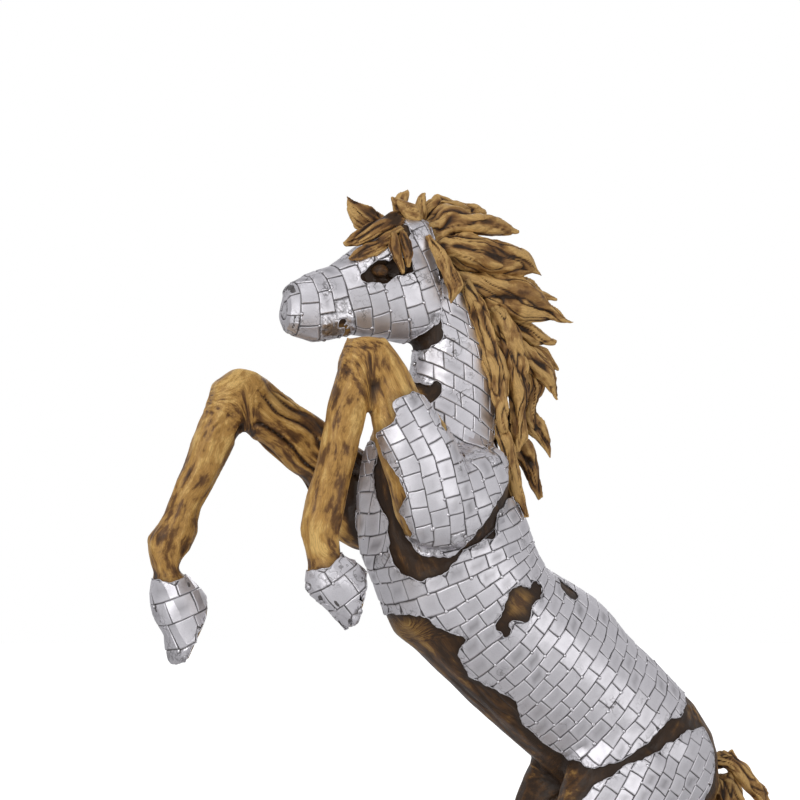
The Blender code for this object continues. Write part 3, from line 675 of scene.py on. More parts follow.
def hammer_group() -> bpy.types.NodeTree:
    """Dents, creases and fine scratches of thin steel that was beaten on by hand.

    Returns:
        The group.
    """
    outputs = dict.fromkeys(("Dent", "Crease", "Scratch"), Socket.FLOAT)
    inputs = {"Place": Socket.VECTOR, "Size": Socket.FLOAT}
    nodes, given, exit_node = new_tree("beaten_steel", "ShaderNodeTree", inputs, outputs)
    scaled = nodes.vector("SCALE", {0: given["Place"], 3: given["Size"]})
    dent = nodes.noise(scaled, (24.0, 24.0, 24.0), 2.0, 0.5)
    fold = nodes.noise(scaled, (44.0, 44.0, 44.0), 2.0, 0.5)
    crease = nodes.math("ABSOLUTE", nodes.math("SUBTRACT", fold, 0.5))
    scratch = nodes.noise(scaled, (420.0, 60.0, 420.0), 2.0, 0.7)
    nodes.feed(exit_node.inputs, {"Dent": dent, "Crease": crease, "Scratch": scratch})
    return nodes.tree


WOOD_GROUP = wood_group()
HAMMER_GROUP = hammer_group()


def new_material(name: str) -> tuple[bpy.types.Material, Nodes, bpy.types.NodeInputs]:
    """Start a material.

    Args:
        name: The material's name.

    Returns:
        The material, a helper to fill it, and its shader's inputs.
    """
    material = bpy.data.materials.new(name)
    material.use_nodes = True
    return material, Nodes(material.node_tree), material.node_tree.nodes["Principled BSDF"].inputs


@dataclass(frozen=True)
class WoodFinish:
    """Stained, sealed wood, darkened by the painted shade and stain that its points carry."""

    name: str
    pale: tuple = (0.76, 0.49, 0.165)
    golden: tuple = (0.48, 0.262, 0.070)
    brown: tuple = (0.155, 0.070, 0.020)
    dark: tuple = (0.026, 0.013, 0.006)
    size: float = 1.0
    gloss: float = 0.34
    relief: float = 0.0016
    shade: float = 0.0
    shine: float = 0.28

    def make(self) -> bpy.types.Material:
        """Build the material.

        Returns:
            The material.
        """
        material, nodes, shader = new_material(self.name)
        values = {"Grain": nodes.attribute("grain", "Vector"), "Size": self.size}
        fibre = nodes.add("ShaderNodeGroup", values, node_tree=WOOD_GROUP).outputs
        # The stored tone brings painted light and shade into the colour: lighter on bulges, darker in wide hollows, on
        # the trunk and on the far forearm.
        tone = nodes.weighted(-self.shade, (fibre["Stain"], 0.66), (fibre["Streak"], 0.34),
                              (nodes.attribute("tone"), 0.09))
        thread = nodes.math("MULTIPLY", nodes.span(fibre["Fibre"], 0.54, 0.42), 0.30)
        # The lowest tone turns darkest: real stain, and the painted shade carried in the tone.
        dark_stain_and_shade = nodes.math("MULTIPLY", nodes.span(tone, 0.45, 0.30), 0.85)
        colour = nodes.mix(nodes.span(tone, 0.42, 0.53), self.brown, self.golden)
        colour = nodes.mix(nodes.span(tone, 0.53, 0.68), colour, self.pale)
        colour = nodes.mix(thread, colour, self.brown)
        colour = nodes.mix(dark_stain_and_shade, colour, self.dark)
        # Painted shade and stain that the points carry: darker in hollows, grooves and sockets, under the steel's edges
        # and on the trunk.
        colour = nodes.mix(nodes.span(nodes.attribute("hollow"), 0.0, 1.0), colour, self.dark)
        rough = nodes.weighted(self.gloss, (nodes.span(fibre["Streak"], 0.35, 0.65), 0.16))
        values = {"Height": fibre["Height"], "Distance": self.relief, "Strength": 0.9}
        bump = nodes.add("ShaderNodeBump", values).outputs[0]
        nodes.feed(shader, {"Base Color": colour, "Roughness": rough, "Normal": bump, "Specular IOR Level": self.shine})
        return material


@dataclass(frozen=True)
class SteelFinish:
    """Bright satin stainless steel, beaten thin, with painted shade where its own edges, folds and nail heads would
    shade it.
    """

    name: str
    bright: tuple = (0.81, 0.79, 0.825)
    dull: tuple = (0.44, 0.425, 0.445)
    painted_shade: tuple = (0.07, 0.06, 0.054)
    roughness: float = 0.37
    dent: float = 0.0015
    crease: float = 0.0045

    def make(self) -> bpy.types.Material:
        """Build the material.

        Returns:
            The material.
        """
        material, nodes, shader = new_material(self.name)
        values = {"Place": nodes.add("ShaderNodeTexCoord").outputs["Object"], "Size": 1.0}
        beaten = nodes.add("ShaderNodeGroup", values, node_tree=HAMMER_GROUP).outputs
        hollow, folded = nodes.attribute("hollow"), nodes.attribute("crumple")
        # Painted shade in the creases of the crumpled steel.
        valley = nodes.math("MULTIPLY", nodes.span(beaten["Crease"], 0.045, 0.0), folded)
        scratch = nodes.math("MULTIPLY", nodes.span(beaten["Scratch"], 0.5, 0.75), 0.25)
        colour = nodes.mix(nodes.attribute("tone"), self.bright, self.dull)
        colour = nodes.mix(scratch, colour, self.dull)
        colour = nodes.mix(nodes.math("MULTIPLY", valley, 0.88), colour, self.painted_shade)
        # Painted shade that the points carry: along the pieces' edges, on the sheet under and between them, in its fold
        # valleys and round the nail heads.
        colour = nodes.mix(nodes.span(hollow, 0.0, 1.0), colour, self.painted_shade)
        rough = nodes.weighted(self.roughness, (beaten["Dent"], 0.16), (hollow, 0.35))
        values = {"Height": beaten["Dent"], "Distance": self.dent, "Strength": 1.0}
        bump = nodes.add("ShaderNodeBump", values).outputs[0]
        values = {"Height": beaten["Crease"], "Distance": self.crease, "Normal": bump,
                  "Strength": nodes.math("ADD", folded, 0.05)}
        fine = nodes.add("ShaderNodeBump", values).outputs[0]
        nodes.feed(shader, {"Base Color": colour, "Roughness": rough, "Normal": fine, "Metallic": 1.0})
        return material


def mirrored(stations: tuple) -> tuple:
    """The same stations on the figure's other side."""
    return tuple((x, -y, z) for x, y, z in stations)


# Straight stretches of the figure, each from one x, y, z station to the next. Wood grain runs along them.
HIND_LEG = ((2.0, -4.1, 38.5), (-5.0, -5.6, 28.5), (6.7, -5.6, 17.2), (3.9, -5.6, 5.4), (2.0, -5.6, 0.0))
LIMBS = (
    ((-38.6, 0.0, 86.4), (-30.0, 0.0, 88.3), (-22.0, 0.0, 91.0)),
    ((-22.8, 0.0, 93.0), (-19.7, 0.0, 80.0), (-21.5, 0.0, 68.0)),
    ((-21.5, 0.0, 68.0), (-17.0, 0.0, 56.0), (-5.0, 0.0, 45.3), (8.0, 0.0, 31.0)),
    ((-33.0, -7.0, 82.0), (-24.0, -7.0, 61.0)),
    ((-33.4, -7.0, 81.0), (-34.3, -7.0, 76.4), (-37.4, -7.0, 62.0), (-33.0, -7.0, 54.0)),
    ((-43.0, 7.0, 78.6), (-24.0, 6.6, 64.6)),
    ((-42.2, 7.0, 77.8), (-49.6, 7.0, 61.0), (-47.0, 7.0, 50.0)),
    HIND_LEG, mirrored(HIND_LEG),
)

# How far apart the grain's patterns of two limbs lie, and over what distance one limb's grain turns into another's.
LIMB_STRIDE = 0.7
LIMB_BLEND = 0.012


def grain_coordinates(points: np.ndarray) -> tuple[np.ndarray, np.ndarray]:
    """How far each point lies along its limb, and how far out of the limb's middle across and upwards.

    Args:
        points: Places on the carving.

    Returns:
        Three numbers in metres for each place, blended where limbs meet, and how unmixed they are, from 0 to 1.
    """
    rows = []
    distances = []
    for number, stations in enumerate(LIMBS):
        path = [place(*station) for station in stations]
        length = LIMB_STRIDE * number
        for start, end in zip(path, path[1:]):
            step = end - start
            size = np.linalg.norm(step)
            ahead = step / size
            side = np.array([0.0, 1.0, 0.0])
            side -= ahead * (side @ ahead)
            side /= np.linalg.norm(side)
            up = np.cross(ahead, side)
            along = (points - start) @ ahead
            held = np.clip(along, 0, size)
            away = points - start - held[:, None] * ahead
            distances.append(np.linalg.norm(away, axis=1))
            rows.append(np.stack([length + along, (points - start) @ side, (points - start) @ up], axis=1))
            length += size
    gap = np.array(distances)
    weight = np.exp(-(gap - gap.min(axis=0)) / LIMB_BLEND)
    weight /= weight.sum(axis=0)
    return (np.array(rows) * weight[:, :, None]).sum(axis=0), rising(weight.max(axis=0), 0.2, 0.75)


# Places where the finer surface leans out or in a little, each with its x, y and z in shares, how far round it
# the lean reaches in metres, and the move along x and z in metres.
NUDGES = (
    (-42.2, 7.0, 79.6, 0.075, 0.000, 0.014), (-46.5, 7.0, 73.6, 0.085, -0.014, 0.002),
    (-48.6, 7.0, 69.5, 0.060, -0.006, 0.000), (-50.9, 7.0, 64.0, 0.075, 0.012, -0.002),
    (-46.9, 7.0, 62.6, 0.030, 0.006, 0.000), (-47.6, 7.0, 59.2, 0.030, -0.012, 0.000),
    (-34.6, 6.5, 67.4, 0.055, 0.019, 0.000), (-38.8, -7.0, 56.7, 0.028, -0.008, 0.000),
    (-37.4, -7.0, 54.7, 0.028, 0.009, 0.004), (-36.5, -7.0, 53.3, 0.040, 0.010, 0.006),
    (-34.6, -7.0, 52.3, 0.035, 0.000, 0.010), (-50.9, 7.0, 51.8, 0.060, 0.017, 0.000),
    (-37.0, -0.5, 89.6, 0.080, -0.001, 0.002), (-39.2, 0.0, 85.8, 0.060, -0.009, 0.000),
    (-36.2, 0.0, 83.2, 0.070, 0.000, 0.002), (-9.8, 0.0, 61.9, 0.100, -0.010, -0.006),
    (-28.5, 0.0, 56.5, 0.065, 0.011, 0.000), (-25.5, 0.0, 51.9, 0.070, -0.007, -0.004),
    (-2.5, 0.0, 55.0, 0.120, 0.008, 0.011), (-11.8, -1.0, 93.1, 0.070, 0.002, 0.006),
    (-13.8, -1.0, 93.2, 0.035, 0.000, 0.012),
    (-17.6, -1.0, 98.7, 0.060, 0.000, -0.013), (-9.8, -3.0, 75.4, 0.070, -0.028, 0.000),
    (-11.2, -3.0, 72.2, 0.045, 0.008, 0.000), (-10.8, -1.0, 90.0, 0.040, 0.000, 0.011),
    (-6.7, -1.0, 86.9, 0.045, 0.000, -0.009), (-9.4, -1.0, 84.3, 0.040, 0.000, -0.007),
    (-36.1, -7.0, 79.2, 0.070, 0.006, 0.000), (-34.0, -7.0, 83.4, 0.045, 0.000, 0.008),
    (-38.9, 0.0, 89.3, 0.040, -0.006, 0.004), (-45.6, 7.0, 53.0, 0.050, 0.007, 0.000),
)

# A nudge's shape: how distances across the figure count, how much wider it fades out, and its strength.
NUDGE_ACROSS = 0.45
NUDGE_FADE = 1.3
NUDGE_STRENGTH = 1.25


def nudged(points: np.ndarray) -> np.ndarray:
    """Lean the points out or in as the table of nudges says.

    Args:
        points: The surface's points.

    Returns:
        The new points.
    """
    result = points.copy()
    for x, y, z, radius, right, up in NUDGES:
        away = (points - place(x, y, z)) * [1.0, NUDGE_ACROSS, 1.0]
        near = fading(np.linalg.norm(away, axis=1), radius * NUDGE_FADE)
        near = near * near * (3 - 2 * near)
        result[:, 0] += near * right * NUDGE_STRENGTH
        result[:, 2] += near * up * NUDGE_STRENGTH
    return result


def near_any(points: np.ndarray, skins: list, reach: float) -> np.ndarray:
    """The distance from each point to the nearest of several surfaces, as far as it is under the reach.

    Args:
        points: The points.
        skins: Each surface with its lowest and highest corners.
        reach: The largest distance that counts.

    Returns:
        The distances.
    """
    best = np.full(len(points), reach)
    for skin, low, high in skins:
        close = np.nonzero(((points > low - reach) & (points < high + reach)).all(axis=1))[0]
        if len(close):
            best[close] = np.minimum(best[close], skin.nearest(points[close])[2])
    return best


# Where the carved surface stands out or lies low is judged over a narrow and a wide surrounding.
BODY_NARROW = 3
BODY_WIDE = 22

# Round hollows that make up an eye's socket, each with its x, its z, its radius and its depth.
EYE_HOLLOWS = (
    (-30.3, 90.0, 0.024, 0.009), (-29.1, 90.5, 0.031, 0.014), (-27.7, 91.0, 0.030, 0.017), (-26.6, 91.2, 0.022, 0.012),
)

# Boxes that hold the trunk's darker wood, darker stain with painted shade, each with its front x, half its width, and
# its lowest and highest z, in shares.
TRUNK_BOXES = (
    (-30.5, 6.2, 30.0, 72.0), (-30.5, 9.5, 30.0, 61.5), (-22.0, 11.0, 30.0, 72.0), (-28.5, 4.6, 70.0, 98.0),
    (-42.0, 5.6, 84.6, 98.0),
)
TRUNK_BACK = 20.0

# The middle line of the split forearm, and how far round it in metres the wood is still the forearm's.
FOREARM = ((-42.0, 7.0, 78.0), (-26.0, 6.8, 66.0))
FOREARM_RADIUS = 0.12


@dataclass
class Carving:
    """The wooden figure: even and smooth first, for the steel to lie on, then cut by the carver's tools."""

    grain: float = 0.0066
    smoothing: int = 26
    groove_depth: float = 0.0050
    facet_depth: float = 0.0040
    lump_height: float = 0.0028
    forearm_depth: float = 0.0085
    steel_reach: float = 0.04
    points: np.ndarray | None = None
    faces: list = field(default_factory=list)

    def prepare(self) -> None:
        """Make the smooth figure that everything else is fitted to."""
        made = remeshed("horse_body", self.grain)
        self.faces = get_faces(made.data)
        self.edges = get_edges(made.data)
        self.points = nudged(relaxed(get_points(made.data), self.edges, self.smoothing))
        self.points[:, 2] = np.maximum(self.points[:, 2], SOLE_LEVEL)
        set_points(made.data, self.points)
        self.normals = get_normals(made.data)
        self.skin = Skin(self.points, self.faces)
        self.object = made
        LOG.info("horse_body: %d faces", len(self.faces))

    def carve(self, steel: list, finish: bpy.types.Material) -> None:
        """Cut the grooves and lumps where wood shows, and dress the figure.

        Args:
            steel: The patches' surfaces with their lowest and highest corners, which stay on smooth wood.
            finish: The wood's material.
        """
        grain, clear = grain_coordinates(self.points)
        steel_gap = near_any(self.points, steel, self.steel_reach)
        bare = rising(steel_gap, 0.014, 0.008)
        noise = Noise(5)
        bent = grain + noise.shift(self.points, 9.0) * [0.0, 0.012, 0.012]
        lumps = noise.layered(bent * [6.0, 14.0, 14.0], 2)
        facets = noise.ridged(bent * [7.0, 22.0, 22.0] + 6.0, 1)
        valley = np.abs(noise.at(bent * [2.2, 15.0, 15.0] + 4.0))
        groove = fading(valley, 0.22) ** 1.4 * clear
        forearm = self.forearm_share()
        depth = groove * (self.groove_depth * 0.4 + forearm * self.forearm_depth)
        depth += (0.4 - np.clip(facets, 0, 0.4)) * self.facet_depth * clear
        move = (lumps * self.lump_height * clear - depth) * bare
        sole = rising(self.points[:, 2], 0.03, SOLE_LEVEL)
        sunk = self.sockets()
        points = self.points + self.normals * (move * sole - sunk)[:, None]
        set_points(self.object.data, points)
        normals = get_normals(self.object.data)
        stand = bulge(points, self.edges, normals, BODY_NARROW)
        wide = bulge(points, self.edges, normals, BODY_WIDE)
        trunk = self.trunk_share(points)
        # Painted shadow that the steel's edges cast on the wood near them.
        under = fading(steel_gap, 0.036) ** 1.3
        # Painted shade in narrow and wide hollows, in the cut grooves and in the eye sockets; on the trunk, darker
        # stain together with painted shade between the plates.
        hollow = rising(-stand, 0.0022) * 0.35 + rising(-wide, 0.006, 0.0015) * 0.8
        hollow += rising(depth, 0.012) * 0.45 * bare + under * 0.62 + rising(sunk, 0.012) * 0.72
        hollow += trunk * 0.40
        # Painted highlight on bulges and painted shade in wide hollows, which also stands for the stain rubbed back on
        # the raised wood.
        painted_relief_light = rising(stand, 0.0014) * 0.9 + np.clip(wide / 0.006, -1, 1) * 0.6
        stain = Noise(11).layered(points * 4.0, 2) * 1.2
        # The trunk is darker from its stain and from painted shade between the plates; the far forearm is darkened with
        # painted shade.
        tone = stain + painted_relief_light - trunk * 1.6 - forearm * 1.1
        set_attributes(self.object, grain=bent, hollow=np.clip(hollow, 0, 1), tone=tone)
        thinned(self.object)
        dress(self.object, finish, "horse_body")

    def forearm_share(self) -> np.ndarray:
        """How much each point belongs to the right forearm, whose wood is deeply split along the grain and darkened
        with painted shade.

        Returns:
            A share of 0 to 1 for each point of the figure.
        """
        start, end = (place(*station) for station in FOREARM)
        ahead = (end - start) / np.linalg.norm(end - start)
        along = (self.points - start) @ ahead
        away = np.linalg.norm(self.points - start - along[:, None] * ahead, axis=1)
        inside = rising(FOREARM_RADIUS - away, 0.02)
        return inside * rising(along, 0.06) * (self.points[:, 1] > 0.05)

    def trunk_share(self, points: np.ndarray) -> np.ndarray:
        """How much each of the points belongs to the trunk, which is stained darker than the limbs and painted with
        shade between the plates.

        Args:
            points: The carved points.

        Returns:
            A share of 0 to 1 for each of them.
        """
        depth = np.full(len(points), -1.0)
        for front, wide, bottom, top in TRUNK_BOXES:
            low, high = place(front, -wide, bottom), place(TRUNK_BACK, wide, top)
            depth = np.maximum(depth, np.minimum(points - low, high - points).min(axis=1))
        return rising(depth, 0.02)

    def sockets(self) -> np.ndarray:
        """How far the surface is sunk round the eyes.

        Returns:
            A depth for each point of the figure.
        """
        sunk = np.zeros(len(self.points))
        for side in (-1, 1):
            for x, z, radius, depth in EYE_HOLLOWS:
                away = self.points - place(x, 0.0, z)
                gap = np.hypot(away[:, 0], away[:, 2]) / radius
                near = (self.points[:, 1] * side > 0.02) & (gap < 1)
                sunk = np.where(near, np.maximum(sunk, depth * rising(1 - gap, 0.35)), sunk)
        return sunk


class Courses(Enum):
    """Which way the rows of steel pieces run."""

    ROUND = "round"
    LENGTHWISE = "lengthwise"


# How far a row slips along itself by chance, against a piece's length.
ROW_SLIP = 0.16

# How many points a piece has along its length, its width and its thickness.
PIECE_POINTS = (6, 5, 2)


def plate_tree() -> bpy.types.NodeTree:
    """Geometry Nodes that lay flat pieces in staggered rows, each turned a little by chance.

    Returns:
        The tree.
    """
    inputs = {"Length": Socket.FLOAT, "Width": Socket.FLOAT, "Columns": Socket.INT, "Rows": Socket.INT,
              "Seam": Socket.FLOAT, "Turn": Socket.FLOAT, "Seed": Socket.INT, "Finish": Socket.MATERIAL}
    nodes, given, exit_node = new_tree("staggered_pieces", "GeometryNodeTree", inputs, {"Geometry": Socket.GEOMETRY})
    length, width, seed = given["Length"], given["Width"], given["Seed"]
    long_side = nodes.math("MULTIPLY", length, nodes.math("SUBTRACT", given["Columns"], 1.0))
    short_side = nodes.math("MULTIPLY", width, nodes.math("SUBTRACT", given["Rows"], 1.0))
    values = {0: long_side, 1: short_side, 2: given["Columns"], 3: given["Rows"]}
    grid = nodes.add("GeometryNodeMeshGrid", values).outputs[0]
    where = nodes.position()
    across = nodes.add("ShaderNodeSeparateXYZ", {0: where}).outputs[1]
    row = nodes.math("ROUND", nodes.math("DIVIDE", across, width))
    odd = nodes.math("MULTIPLY", nodes.math("MODULO", nodes.math("ABSOLUTE", row), 2.0), length)
    slip = nodes.chance(-ROW_SLIP, ROW_SLIP, seed, row)
    shift = nodes.math("ADD", nodes.math("MULTIPLY", odd, 0.5), nodes.math("MULTIPLY", slip, length))
    laid = nodes.add("GeometryNodeSetPosition", {0: grid, 3: nodes.combined(shift)}).outputs[0]
    middle = nodes.stored(laid, "middle", where, "FLOAT_VECTOR")
    sides = [nodes.math("SUBTRACT", side, given["Seam"]) for side in (length, width)]
    size = nodes.combined(*sides, 1.0)
    values = {"Size": size} | {f"Vertices {axis}": count for axis, count in zip("XYZ", PIECE_POINTS)}
    block = nodes.add("GeometryNodeMeshCube", values).outputs[0]
    piece = nodes.stored(block, "local", nodes.vector("DIVIDE", {0: nodes.position(), 1: size}), "FLOAT_VECTOR")
    low = nodes.combined(0.0, 0.0, nodes.math("MULTIPLY", given["Turn"], -1.0))
    high = nodes.combined(0.0, 0.0, given["Turn"])
    values = {0: low, 1: high, 8: seed}
    turn = nodes.add("FunctionNodeRandomValue", values, data_type="FLOAT_VECTOR").outputs[0]
    spread = nodes.add("GeometryNodeInstanceOnPoints", {0: middle, 2: piece, 5: turn}).outputs[0]
    marked = nodes.stored(spread, "chance", nodes.chance(0.0, 1.0, seed), "FLOAT", "INSTANCE")
    nodes.hand_out(marked, given["Finish"], exit_node)
    return nodes.tree


def bead_tree() -> bpy.types.NodeTree:
    """Geometry Nodes that turn closed lines into a rounded edge of uneven thickness.

    Returns:
        The tree.
    """
    inputs = {"Geometry": Socket.GEOMETRY, "Radius": Socket.FLOAT, "Uneven": Socket.FLOAT, "Seed": Socket.INT,
              "Finish": Socket.MATERIAL}
    nodes, given, exit_node = new_tree("rolled_edge", "GeometryNodeTree", inputs, {"Geometry": Socket.GEOMETRY})
    line = nodes.add("GeometryNodeMeshToCurve", {0: given["Geometry"]}).outputs[0]
    low = nodes.math("SUBTRACT", 1.0, given["Uneven"])
    high = nodes.math("ADD", 1.0, given["Uneven"])
    change = nodes.chance(low, high, given["Seed"])
    sized = nodes.add("GeometryNodeSetCurveRadius", {0: line, 2: change}).outputs[0]
    values = {"Resolution": 6, "Radius": given["Radius"]}
    profile = nodes.add("GeometryNodeCurvePrimitiveCircle", values).outputs[0]
    values = {"Curve": sized, "Profile Curve": profile, "Fill Caps": True}
    nodes.hand_out(nodes.add("GeometryNodeCurveToMesh", values).outputs[0], given["Finish"], exit_node)
    return nodes.tree


PLATE_TREE = plate_tree()
BEAD_TREE = bead_tree()


def run_nodes(made: bpy.types.Object, tree: bpy.types.NodeTree, values: dict) -> bpy.types.Object:
    """Give the object what a Geometry Nodes tree makes from it, as plain mesh.

    Args:
        made: The object to work on.
        tree: The tree.
        values: What each named input gets.

    Returns:
        The same object.
    """
    modifier = made.modifiers.new(tree.name, "NODES")
    modifier.node_group = tree
    for item in tree.interface.items_tree:
        if item.in_out == "INPUT" and item.name in values:
            modifier[item.identifier] = values[item.name]
    return baked(made)


# How much of a row of rays has to meet the body for the row to count, and for it to be a whole ring.
ROW_MET = 0.3
ROW_WHOLE = 0.97

# How far the rays lean over a blunt end at most, and how far on, in radians, the sheet goes there.
STEEPEST_LEAN = math.pi / 2 - 0.04
MOST_TILT = 2.0


@dataclass
class Wrap:
    """A flat sheet's way onto the body: its first measure runs along a path, its second round it."""

    path: tuple
    facing: float = -1.0
    course: tuple | None = None
    reach: float = 0.34
    step: float = 0.006
    turns: int = 120
    blunt: tuple = ()
    missed_step: float = 0.004
    longest_step: float = 0.03

    def fit(self, skin: Skin) -> None:
        """Cast the grid of places that the flat sheet lands on.

        Args:
            skin: The smooth body.
        """
        stations = np.array([place(*station) for station in self.path])
        gaps = np.linalg.norm(np.diff(stations, axis=0), axis=1)
        marks = np.concatenate([[0], np.cumsum(gaps)])
        self.length = marks[-1]
        along = np.arange(0, self.length + self.step, self.step)
        centres = np.stack([np.interp(along, marks, stations[:, axis]) for axis in range(3)], axis=1)
        soft = centres.copy()
        for _ in range(30):
            soft[1:-1] = (soft[:-2] + soft[2:]) / 2
        ahead = np.gradient(soft, axis=0)
        if self.course is not None:
            ahead[:] = self.course
        ahead /= np.linalg.norm(ahead, axis=1)[:, None]
        side = np.array([0.0, self.facing, 0.0]) - ahead * (ahead[:, 1] * self.facing)[:, None]
        side /= np.linalg.norm(side, axis=1)[:, None]
        up = np.cross(ahead, side)
        angles = np.linspace(-math.pi, math.pi, self.turns + 1)
        rings = np.stack([side * math.cos(angle) + up * math.sin(angle) for angle in angles], axis=1)
        self.grid = np.array([self.cast(skin, centre, ring) for centre, ring in zip(centres, rings)])
        if self.blunt:
            self.close_ends(skin, centres, ahead, rings)
        steps = np.nan_to_num(np.linalg.norm(np.diff(self.grid, axis=1), axis=2), nan=self.missed_step)
        steps = np.minimum(steps, self.longest_step)
        travel = np.concatenate([np.zeros((len(along), 1)), np.cumsum(steps, axis=1)], axis=1)
        met = np.nonzero(self.met_share() > ROW_MET)[0]
        nearest = met[np.abs(np.arange(len(along))[:, None] - met).argmin(axis=1)]
        travel = travel[nearest]
        self.travel = travel - travel[:, self.turns // 2][:, None]
        for _ in range(6):
            self.travel[1:-1] = (self.travel[:-2] + self.travel[1:-1] + self.travel[2:]) / 3
        self.half_round = float(np.abs(self.travel).max())

    def cast(self, skin: Skin, origin: np.ndarray, ring: np.ndarray) -> list:
        """Send a ring of rays in towards a point inside the body.

        Args:
            skin: The smooth body.
            origin: The point.
            ring: The way out along each ray.

        Returns:
            Where each ray first meets the body, or nothing-numbers.
        """
        hits = [skin.outermost(origin, direction, self.reach) for direction in ring]
        return [np.full(3, np.nan) if hit is None else hit for hit in hits]

    def met_share(self) -> np.ndarray:
        """How much of each of the grid's rows meets the body, from 0 to 1."""
        return (~np.isnan(self.grid).any(axis=2)).mean(axis=1)

    def close_ends(self, skin: Skin, centres: np.ndarray, ahead: np.ndarray, rings: np.ndarray) -> None:
        """Carry the grid on over the body's blunt ends, towards their middles.

        Args:
            skin: The smooth body.
            centres: The path's places, one for each row.
            ahead: The path's direction at each row.
            rings: The directions round the path at each row.
        """
        full = np.nonzero(self.met_share() > ROW_WHOLE)[0]
        first, final = full[0] + 4, full[-1] - 4
        ends = {"start": (first, range(first), -1.0), "end": (final, range(final + 1, len(centres)), 1.0)}
        for last, rows, way in (ends[name] for name in self.blunt):
            wide = np.linalg.norm(self.grid[last] - centres[last], axis=1).mean()
            for i in rows:
                tilt = abs(i - last) * self.step / wide
                lean = min(tilt, STEEPEST_LEAN)
                ring = rings[last] * math.cos(lean) + ahead[last] * way * math.sin(lean)
                self.grid[i] = self.cast(skin, centres[last], ring) if tilt < MOST_TILT else np.nan

    def land(self, along: np.ndarray, across: np.ndarray, slack: float) -> np.ndarray:
        """Where points of the flat sheet land.

        Args:
            along: Their distances along the path.
            across: Their distances round it, from the side that the wrap faces.
            slack: How far past the line where the sheet's two sides meet a point may be and still land on it.

        Returns:
            Their places, or nothing-numbers where the body isn't met.
        """
        row = np.clip(along / self.step, 0, len(self.grid) - 1.001)
        low = row.astype(int)
        part = (row - low)[:, None]
        result = np.empty((len(along), 3))
        for i in np.unique(low):
            chosen = np.nonzero(low == i)[0]
            share = part[chosen]
            spots = []
            for k in (i, i + 1):
                turn = np.interp(across[chosen], self.travel[k], np.arange(self.turns + 1))
                near = np.clip(turn.astype(int), 0, self.turns - 1)
                rest = (turn - near)[:, None]
                past = np.maximum(across[chosen] - self.travel[k, -1], self.travel[k, 0] - across[chosen])
                rest[past > slack] = np.nan
                spots.append(self.grid[k, near] * (1 - rest) + self.grid[k, near + 1] * rest)
            result[chosen] = spots[0] * (1 - share) + spots[1] * share
        outside = (along < -0.01) | (along > self.length + 0.01)
        result[outside] = np.nan
        return result


# How much of a piece has to be inside the patch for it to be laid, and how far it may be pulled apart.
LEAST_INSIDE = 0.26
MOST_SPREAD = 0.72

# Where a piece's rows of points lie along its length and across it, from 0 in its middle to 0.5 at its edge: as
# the tree makes them, and where the inner ones are moved to. The raised lip's two rows follow after those.
PIECE_ROWS = (((0.0, 0.1, 0.3, 0.5), (0.0, 0.17)), ((0.0, 0.25, 0.5), (0.0,)))

# How far a place may be from the patch's solid, along the body's surface, and still count as under it.
UNDER_SOLID = 0.003

# Up to what height between the body and the solid a place is under it even if the surface runs aslant, and from
# what height on the solid is another part's.
UNDER_RISE = 0.022
MOST_RISE = 0.03

# The distance that stands for being far from a patch.
FAR = 0.1

# The least that a sheet is crumpled, and how wide its folds are, in cells to a metre.
SHEET_CRUMPLED = 0.55
FOLD_CELLS = 40.0

# A nail head's rings from its foot up, each with its radius, its height and its painted shade, a dark ring where the
# head meets the plate. The first two are shares of the nail's size.
NAIL_RINGS = ((1.3, -0.60, 0.72), (1.25, 0.02, 0.72), (0.95, 0.10, 0.60), (0.80, 0.40, 0.0), (0.42, 0.58, 0.0))
NAIL_TOP = 0.64
NAIL_SIDES = 9


def nail_tree() -> bpy.types.NodeTree:
    """Geometry Nodes that set a domed nail head on each point, turned and sized as the point's own values say.

    Returns:
        The tree.
    """
    inputs = {"Geometry": Socket.GEOMETRY, "Finish": Socket.MATERIAL}
    nodes, given, exit_node = new_tree("nail_heads", "GeometryNodeTree", inputs, {"Geometry": Socket.GEOMETRY})
    levels = len(NAIL_RINGS) - 1
    values = {"Vertices": NAIL_SIDES, "Side Segments": levels, "Radius": 1.0, "Depth": float(levels)}
    post = nodes.add("GeometryNodeMeshCylinder", values, fill_type="TRIANGLE_FAN").outputs[0]
    x, y, z = nodes.add("ShaderNodeSeparateXYZ", {0: nodes.position()}).outputs
    ring = nodes.math("ROUND", nodes.math("ADD", z, levels / 2))
    wide, high, painted_shade = (nodes.choice(ring, column) for column in zip(*NAIL_RINGS))
    out = nodes.math("SQRT", nodes.weighted(0.0, (x, x), (y, y)))
    dome = nodes.math("MULTIPLY", nodes.math("SUBTRACT", 1.0, out), NAIL_TOP - NAIL_RINGS[-1][1])
    spot = nodes.combined(nodes.math("MULTIPLY", x, wide), nodes.math("MULTIPLY", y, wide),
                          nodes.math("ADD", high, dome))
    # The lower rings carry painted shade, a dark ring where the head meets the plate.
    head = nodes.stored(post, "hollow", painted_shade, "FLOAT")
    head = nodes.add("GeometryNodeSetPosition", {0: head, 2: spot}).outputs[0]
    turn, size = (nodes.add("GeometryNodeInputNamedAttribute", {"Name": name}, data_type=kind).outputs[0]
                  for name, kind in (("turn", "FLOAT_VECTOR"), ("size", "FLOAT")))
    spread = nodes.add("GeometryNodeInstanceOnPoints", {0: given["Geometry"], 2: head, 5: turn, 6: size}).outputs[0]
    nodes.hand_out(spread, given["Finish"], exit_node)
    return nodes.tree


NAIL_TREE = nail_tree()


def search_tree(points: np.ndarray) -> KDTree:
    """A tree that finds the nearest of the points to a place.

    Args:
        points: The points.

    Returns:
        The tree.
    """
    tree = KDTree(len(points))
    for index, point in enumerate(points):
        tree.insert(point, index)
    tree.balance()
    return tree


